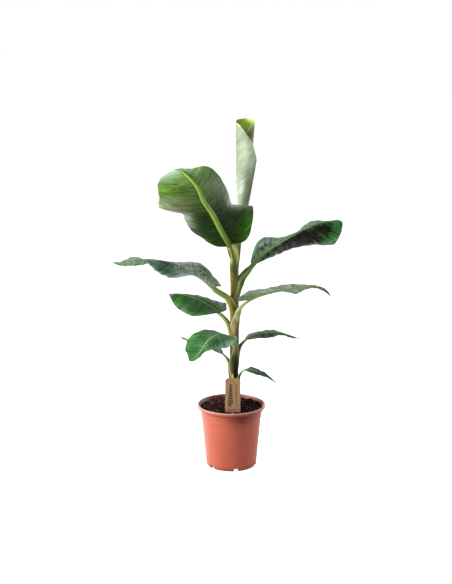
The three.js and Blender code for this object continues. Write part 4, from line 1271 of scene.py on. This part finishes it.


# Paint of the blades: across runs from -1 at a blade's left margin to 1 at its right one, along from 0 at the
# base to 1 at the tip. Of a stalk: across from -1 below to 1 above, along from 0 at the stem over 1 at the
# blade's base to 2 at the tip. Besides the leaves' own colours, the zones hold painted light: pale painted
# highlights, painted light shining through blades, and darker painted shade.
ALL_OVER = (0, 0.5, 1, 1)
GLAUCOUS = coat((122, 142, 114), glints=[(*ALL_OVER, 0.2)])
PAINT = {
    "leaf_01": {
        "upper": coat((50, 76, 58), (0.0, 0.3, 0.5, 0.3, (84, 112, 92), 0.6), spots=[(*ALL_OVER, 0.25)]),
        "lower": GLAUCOUS,
        "stalk": coat(
            (92, 108, 62), (0, 0.2, 2, 0.5, (96, 82, 60), 0.5), (0, 1.5, 2, 0.4, (120, 146, 116), 0.7),
        ),
    },
    "leaf_02": {
        "upper": coat((90, 120, 98), spots=[(*ALL_OVER, 0.2)], glints=[(*ALL_OVER, 0.4)]),
        "lower": GLAUCOUS,
        "stalk": coat((104, 128, 62), (0, 1.5, 2, 0.4, (150, 160, 130), 0.7)),
    },
    "leaf_03": {
        # Leaf 3's pale zones are painted highlights
        "upper": coat(
            (74, 110, 76), (-0.6, 0.25, 0.6, 0.35, (166, 184, 168), 0.85),
            (0.5, 0.08, 0.7, 0.1, (150, 174, 150), 0.8), (0.95, 0.4, 0.2, 0.3, (136, 154, 136), 0.8),
            spots=[(0.4, 0.5, 0.6, 0.5, 0.3)],
            glints=[(-0.5, 0.3, 0.6, 0.4, 0.5)],
        ),
        "lower": GLAUCOUS,
        "stalk": coat((98, 122, 58), (0, 1.4, 2, 0.4, (140, 160, 130), 0.7)),
    },
    "leaf_04": {
        "upper": coat(
            (46, 106, 40), (0, 0.2, 1.2, 0.2, (98, 142, 104), 0.85),
            (-0.5, 0.45, 0.3, 0.25, (60, 98, 64), 0.8), (0.95, 0.72, 0.25, 0.4, (84, 142, 66), 0.7),
            (-0.95, 0.5, 0.2, 0.5, (110, 146, 116), 0.8), (-0.15, 0.78, 0.2, 0.3, (100, 142, 88), 0.6),
            (0, 0.94, 0.8, 0.06, (88, 134, 78), 0.7),
            spots=[(-0.5, 0.6, 0.4, 0.2, 0.3), (0.4, 0.5, 0.5, 0.3, 0.3)],
            glints=[(0, 0.15, 1, 0.2, 0.85), (-0.9, 0.5, 0.3, 0.4, 0.6), (0.4, 0.6, 0.6, 0.4, 0.2)],
        ),
        "lower": GLAUCOUS,
        "stalk": coat(
            (110, 118, 66), (0, 0.1, 2, 0.6, (110, 92, 62), 0.5), (0, 1.5, 2, 0.5, (168, 204, 152), 0.9),
        ),
    },
    "leaf_05": {
        # Leaf 5's far half is greyed by a painted reflection of its gloss
        "upper": coat(
            (14, 58, 8), (0.6, 0.2, 0.45, 0.7, (86, 112, 82), 0.95),
            (0.6, 0.6, 0.4, 0.16, (150, 168, 146), 0.8), (-0.95, 0.4, 0.16, 0.8, (70, 122, 62), 0.8),
            (-0.5, 0.06, 0.6, 0.12, (74, 108, 72), 0.6), (-0.5, 0.75, 0.35, 0.15, (46, 110, 32), 0.8),
            (-0.3, 0.97, 0.8, 0.08, (98, 138, 84), 0.75), (-0.85, 0.72, 0.2, 0.12, (112, 156, 100), 0.7),
            spots=[(0.5, 0.25, 0.5, 0.4, 0.42)],
            glints=[(0.7, 0.35, 0.4, 0.5, 0.9), (-0.5, 0.4, 0.35, 0.2, 0.12), (-1, 0.3, 0.08, 0.8, 0.4)],
        ),
        "lower": GLAUCOUS,
        "stalk": coat((112, 142, 62), (0, 1.6, 2, 0.6, (92, 130, 74), 0.95)),
    },
    "leaf_06": {
        "upper": coat((66, 104, 74), spots=[(*ALL_OVER, 0.3)], glints=[(*ALL_OVER, 0.3)]),
        "lower": coat(
            (158, 174, 148), (0.2, 0.3, 0.3, 0.12, (198, 214, 190), 0.85),
            (0.4, 0.05, 0.9, 0.12, (112, 150, 92), 0.7), (-0.6, 0.75, 0.5, 0.2, (150, 160, 142), 0.6),
            (0, 1, 2, 0.22, (30, 34, 32), 1),
            spots=[(0, 0.85, 1, 0.15, 0.3)],
            glints=[(0, 0.5, 1, 0.5, 0.35)],
        ),
        # The pale band on the underside of leaf 6's stalk is a painted highlight
        "stalk": coat(
            (156, 178, 106), (-0.6, 0.2, 0.7, 0.8, (196, 212, 160), 0.7),
            (0, 1.5, 2, 0.5, (132, 160, 110), 0.9), (0, 2, 2, 0.24, (34, 38, 36), 1),
        ),
    },
    "leaf_07": {
        # Leaf 7's pale grey and whitish zones are painted reflections of its gloss; the teal and green are
        # its own
        "upper": coat(
            (152, 184, 162), (-0.4, 0.08, 0.6, 0.12, (188, 204, 192), 0.85),
            (0.6, 0.17, 0.34, 0.1, (30, 98, 44), 0.95), (0.08, 0.34, 0.14, 0.13, (208, 220, 212), 0.85),
            (-0.66, 0.46, 0.38, 0.16, (44, 124, 84), 0.95), (-0.1, 0.53, 0.4, 0.08, (66, 60, 68), 0.9),
            (-1, 0.38, 0.1, 0.4, (206, 226, 212), 0.95), (0.6, 0.42, 0.4, 0.16, (174, 184, 176), 0.8),
            (-0.5, 0.28, 0.34, 0.12, (204, 222, 212), 0.8),
            spots=[(0, 0.48, 0.42, 0.18, 0.56), (0.4, 0.2, 0.6, 0.2, 0.48), (-0.5, 0.25, 0.5, 0.2, 0.3)],
            glints=[(0.4, 0.3, 0.6, 0.3, 1.0), (0, 0.2, 1, 0.16, 0.8)],
        ),
        "lower": coat(
            (128, 154, 120), (0, 0.92, 2, 0.16, (164, 192, 152), 0.85),
            glints=[(0, 0.8, 1, 0.4, 0.5)],
        ),
        "stalk": coat(
            (140, 158, 62), (0, 0.1, 2, 0.5, (150, 140, 72), 0.7), (0, 1.5, 2, 0.5, (128, 150, 128), 0.8),
        ),
    },
    "leaf_08": {
        "upper": coat(
            (44, 116, 42), (-0.6, 0.1, 0.6, 0.16, (52, 98, 66), 0.9),
            (-0.6, 0.5, 0.6, 0.3, (130, 156, 138), 0.9), (-0.6, 0.88, 0.6, 0.2, (120, 150, 124), 0.8),
            (0.5, 0.14, 0.6, 0.18, (84, 104, 84), 0.8), (0.95, 0.35, 0.3, 0.3, (118, 130, 118), 0.7),
            (-0.06, 0.4, 0.13, 0.45, (138, 170, 122), 0.95), (1, 0.48, 0.1, 0.2, (184, 192, 190), 0.9),
            (0.2, 0.6, 0.24, 0.2, (16, 44, 14), 0.8), (0.4, 0.98, 0.8, 0.14, (74, 146, 78), 0.85),
            spots=[
                (0.45, 0.5, 0.6, 0.32, 0.95), (0.3, 0.75, 0.5, 0.2, 0.7), (0.5, 0.15, 0.5, 0.2, 0.55),
                (-0.4, 0.2, 0.5, 0.25, 0.55), (0.7, 0.86, 0.4, 0.12, 0.45),
            ],
            glints=[(0.6, 0.3, 0.5, 0.25, 0.8), (-0.6, 0.35, 0.6, 0.5, 0.8), (1, 0.55, 0.2, 0.3, 1.0)],
        ),
        "lower": coat(
            (122, 142, 114), (-0.5, 0.8, 0.6, 0.3, (110, 140, 110), 0.6),
            glints=[(*ALL_OVER, 0.2)],
        ),
        # The pale yellow-green on the upper side of leaf 8's stalk is painted light
        "stalk": coat(
            (72, 112, 44), (0.7, 0.5, 0.6, 0.5, (186, 222, 120), 0.7),
            (0, 1.4, 2, 0.4, (146, 180, 116), 0.95),
        ),
    },
    "leaf_09": {
        "upper": coat((60, 106, 62), spots=[(*ALL_OVER, 0.4)], glints=[(*ALL_OVER, 0.4)]),
        # Leaf 9's underside: the bright yellow-green zones are painted light shining through the blade, the
        # pale band at the tip a painted highlight where the blade bends back, and the pale zones at its
        # margins painted highlights too
        "lower": coat(
            (28, 58, 4), (0, 0.56, 2, 0.13, (98, 122, 62), 0.85),
            (0, 0.76, 2, 0.12, (100, 142, 54), 0.95), (0.85, 0.68, 0.4, 0.15, (104, 158, 36), 0.95),
            (0.6, 0.53, 0.3, 0.09, (136, 142, 98), 0.8), (0.97, 0.5, 0.25, 0.1, (172, 188, 142), 0.8),
            (-0.5, 0.72, 0.5, 0.1, (140, 176, 108), 0.8), (0, 0.98, 2, 0.13, (196, 222, 192), 0.95),
            (-0.75, 0.95, 0.4, 0.07, (120, 176, 88), 0.7), (0.2, 0.3, 0.3, 0.12, (14, 38, 0), 0.8),
            (0.94, 0.36, 0.24, 0.13, (178, 190, 164), 0.9),
            (-0.97, 0.35, 0.28, 0.14, (142, 160, 130), 0.85),
            (-0.97, 0.1, 0.32, 0.12, (62, 128, 16), 0.9), (-1, 0.29, 0.16, 0.07, (200, 214, 190), 1.0),
            (0.97, 0.08, 0.2, 0.1, (84, 104, 68), 0.8), (-0.9, 0.52, 0.4, 0.1, (138, 156, 130), 0.8),
            spots=[
                (0.6, 0.72, 0.45, 0.12, 0.4), (0.2, 0.6, 0.4, 0.08, 0.35), (-0.4, 0.45, 0.5, 0.2, 0.25),
            ],
            glints=[(0, 0.95, 2, 0.08, 0.8), (-0.5, 0.4, 0.6, 0.2, 0.35), (0.9, 0.45, 0.3, 0.1, 0.5)],
        ),
        "stalk": coat(
            (92, 108, 46), (0, 0.1, 2, 0.5, (92, 96, 50), 0.7), (0, 1.6, 2, 0.5, (140, 178, 66), 0.95),
        ),
    },
}

# Stem and pot are painted at (heading, height), where -90 faces the viewer, and the rolled leaf's outside and
# inside at (degrees round from its free edge, height)
# The stem's zones are partly the sheaths' own colours and partly painted light and shade: the pale yellow
# band high at the front is a painted highlight, the near-black zones low on the front are painted shade, and
# so is the dark zone high on the right
STEM_PAINT = coat(
    (112, 106, 50), (-84, 680, 34, 20, (226, 228, 150), 0.95), (-14, 668, 26, 40, (54, 58, 28), 0.9),
    (-135, 672, 40, 25, (130, 146, 62), 0.9), (-40, 672, 34, 25, (92, 96, 60), 0.9),
    (-100, 629, 70, 24, (78, 92, 44), 0.9), (-140, 572, 34, 34, (190, 152, 76), 0.9),
    (-98, 565, 36, 30, (126, 98, 12), 0.95), (-50, 560, 34, 30, (150, 180, 98), 0.85),
    (-110, 528, 56, 17, (148, 98, 50), 0.9), (-50, 528, 36, 18, (118, 134, 76), 0.8),
    (-145, 497, 36, 17, (150, 158, 80), 0.8), (-90, 497, 38, 18, (104, 86, 14), 0.9),
    (-50, 492, 30, 16, (76, 78, 24), 0.8), (-120, 464, 46, 14, (104, 86, 32), 0.85),
    (-56, 468, 32, 13, (196, 212, 140), 0.95), (-145, 440, 40, 22, (112, 92, 56), 0.9),
    (-86, 434, 38, 18, (176, 164, 108), 0.95), (-45, 426, 32, 20, (90, 84, 46), 0.8),
    (-140, 340, 46, 60, (70, 92, 26), 0.9), (-105, 352, 38, 46, (26, 42, 2), 0.95),
    (-30, 340, 38, 70, (78, 80, 56), 0.7), (-70, 308, 36, 44, (10, 4, 4), 1.0),
    (-145, 284, 40, 22, (100, 84, 40), 0.9), (-72, 280, 32, 30, (12, 8, 4), 0.95),
)
# The pot's zones are painted light and shade: a painted shadow under the lip at the front and a thin band of
# painted shade all round under it, the lip's face in the body's own colour, a painted highlight along the
# lip's top, pale painted reflections on the left and right sides, and a dark band of painted shade along the
# foot
POT_PAINT = coat(
    (203, 100, 74), (-70, 180, 27, 29, (112, 22, 4), 0.9), (0, 182, 999, 3.5, (120, 40, 24), 0.6),
    (0, 189, 999, 3, (200, 104, 82), 0.8), (0, 194, 999, 2.2, (255, 216, 204), 0.95),
    (-180, 90, 30, 200, (240, 192, 176), 0.55), (180, 90, 30, 200, (240, 192, 176), 0.55),
    (0, 90, 24, 200, (228, 184, 170), 0.5), (0, 0, 999, 4.5, (92, 56, 48), 0.85),
)
# The rolled leaf's outside is darker towards its right and on its inner lap, both painted shade; inside, the
# darker green to the left is painted shade and the pale yellow beyond it a painted highlight
ROLL_PAINT = [
    coat(
        (164, 186, 148), (190, 1000, 50, 90, (140, 150, 120), 0.9),
        (150, 945, 34, 60, (148, 160, 132), 0.8), (190, 830, 40, 60, (226, 228, 208), 0.9),
        (128, 862, 18, 34, (240, 250, 226), 0.9), (112, 822, 20, 24, (172, 190, 150), 0.8),
        (100, 975, 36, 36, (228, 240, 214), 0.9), (78, 962, 26, 40, (230, 248, 206), 0.9),
        (34, 920, 28, 50, (84, 100, 66), 0.95), (50, 850, 34, 60, (62, 76, 46), 0.95),
        (50, 990, 30, 40, (170, 198, 140), 0.8), (430, 1020, 70, 34, (98, 98, 22), 0.95),
        (430, 1055, 80, 20, (160, 180, 76), 0.9),
    ),
    coat(
        (184, 220, 84), (205, 1040, 40, 50, (74, 128, 22), 0.95),
        (300, 1050, 50, 30, (222, 244, 120), 0.8), (262, 1012, 36, 26, (170, 148, 56), 0.8),
    ),
]
POT_INNER_SHADE = 0.6
ROLL_EDGE = (214, 226, 180)
ROLL_EDGE_WIDTH = 4

# A stalk takes on its own colours as it leaves the stem, and a sheath has a pale hem with a shadow below it
OWN_COLOUR = 2.2
# The webs' pale yellow-green is partly their own colour and partly painted light
WEB_COLOUR = {"leaf_08": (148, 186, 84), "leaf_09": (252, 254, 112)}
WEB_RISE = 20
SHEATH_EDGE = (232, 212, 156)
SHEATH_SHADOW = (44, 22, 10)

# Crumbs: name, dark and light colour, how many, least and greatest radius. Most pale ones lie on the left,
# where they make the soil's lit side lighter: painted light.
CRUMBS = [
    ("crumbs_lump", (20, 7, 6), (66, 36, 30), 170, (3.2, 6.0)),
    ("crumbs_dark", (12, 4, 4), (44, 22, 18), 850, (1.4, 3.6)),
    ("crumbs_brown", (56, 28, 22), (116, 76, 62), 380, (1.2, 3.2)),
    ("crumbs_bark", (112, 76, 64), (190, 146, 128), 150, (1.2, 3.0)),
]
PALE_CRUMBS = ("crumbs_brown", "crumbs_bark")
PALE_SIDE = 20

WHITE = (255, 255, 255)
WORLD_STRENGTH = 0.2
FLOOR_SIZE = 60000
FLOOR_GLOW = 0.9
# Softboxes: place, aim, size, power and spread, in metres, watts and degrees
LIGHTS = [
    ((-2.9, -1.0, 1.5), (0, 0, 0.5), 1.4, 130, 180),
    ((2.6, 1.2, 1.4), (0, 0, 0.5), 1.2, 40, 180),
    ((-0.6, 2.4, 2.8), (0, 0, 0.7), 1.6, 18, 180),
    ((0.4, -2.6, 1.7), (0, 0, 0.98), 0.5, 0.25, 24),
]


add_camera()
add_world()
add_floor()
for light in LIGHTS:
    add_light(*light)
add_pot()
add_soil()
add_crumbs()
add_stem()
for number, (name, leaf) in enumerate(LEAVES.items()):
    line = leaf_line(leaf)
    add_blade(name, leaf, line, number)
    add_stalk(name, leaf, line)
add_rolled_leaf()
add_thread()
add_tag()
add_stick()
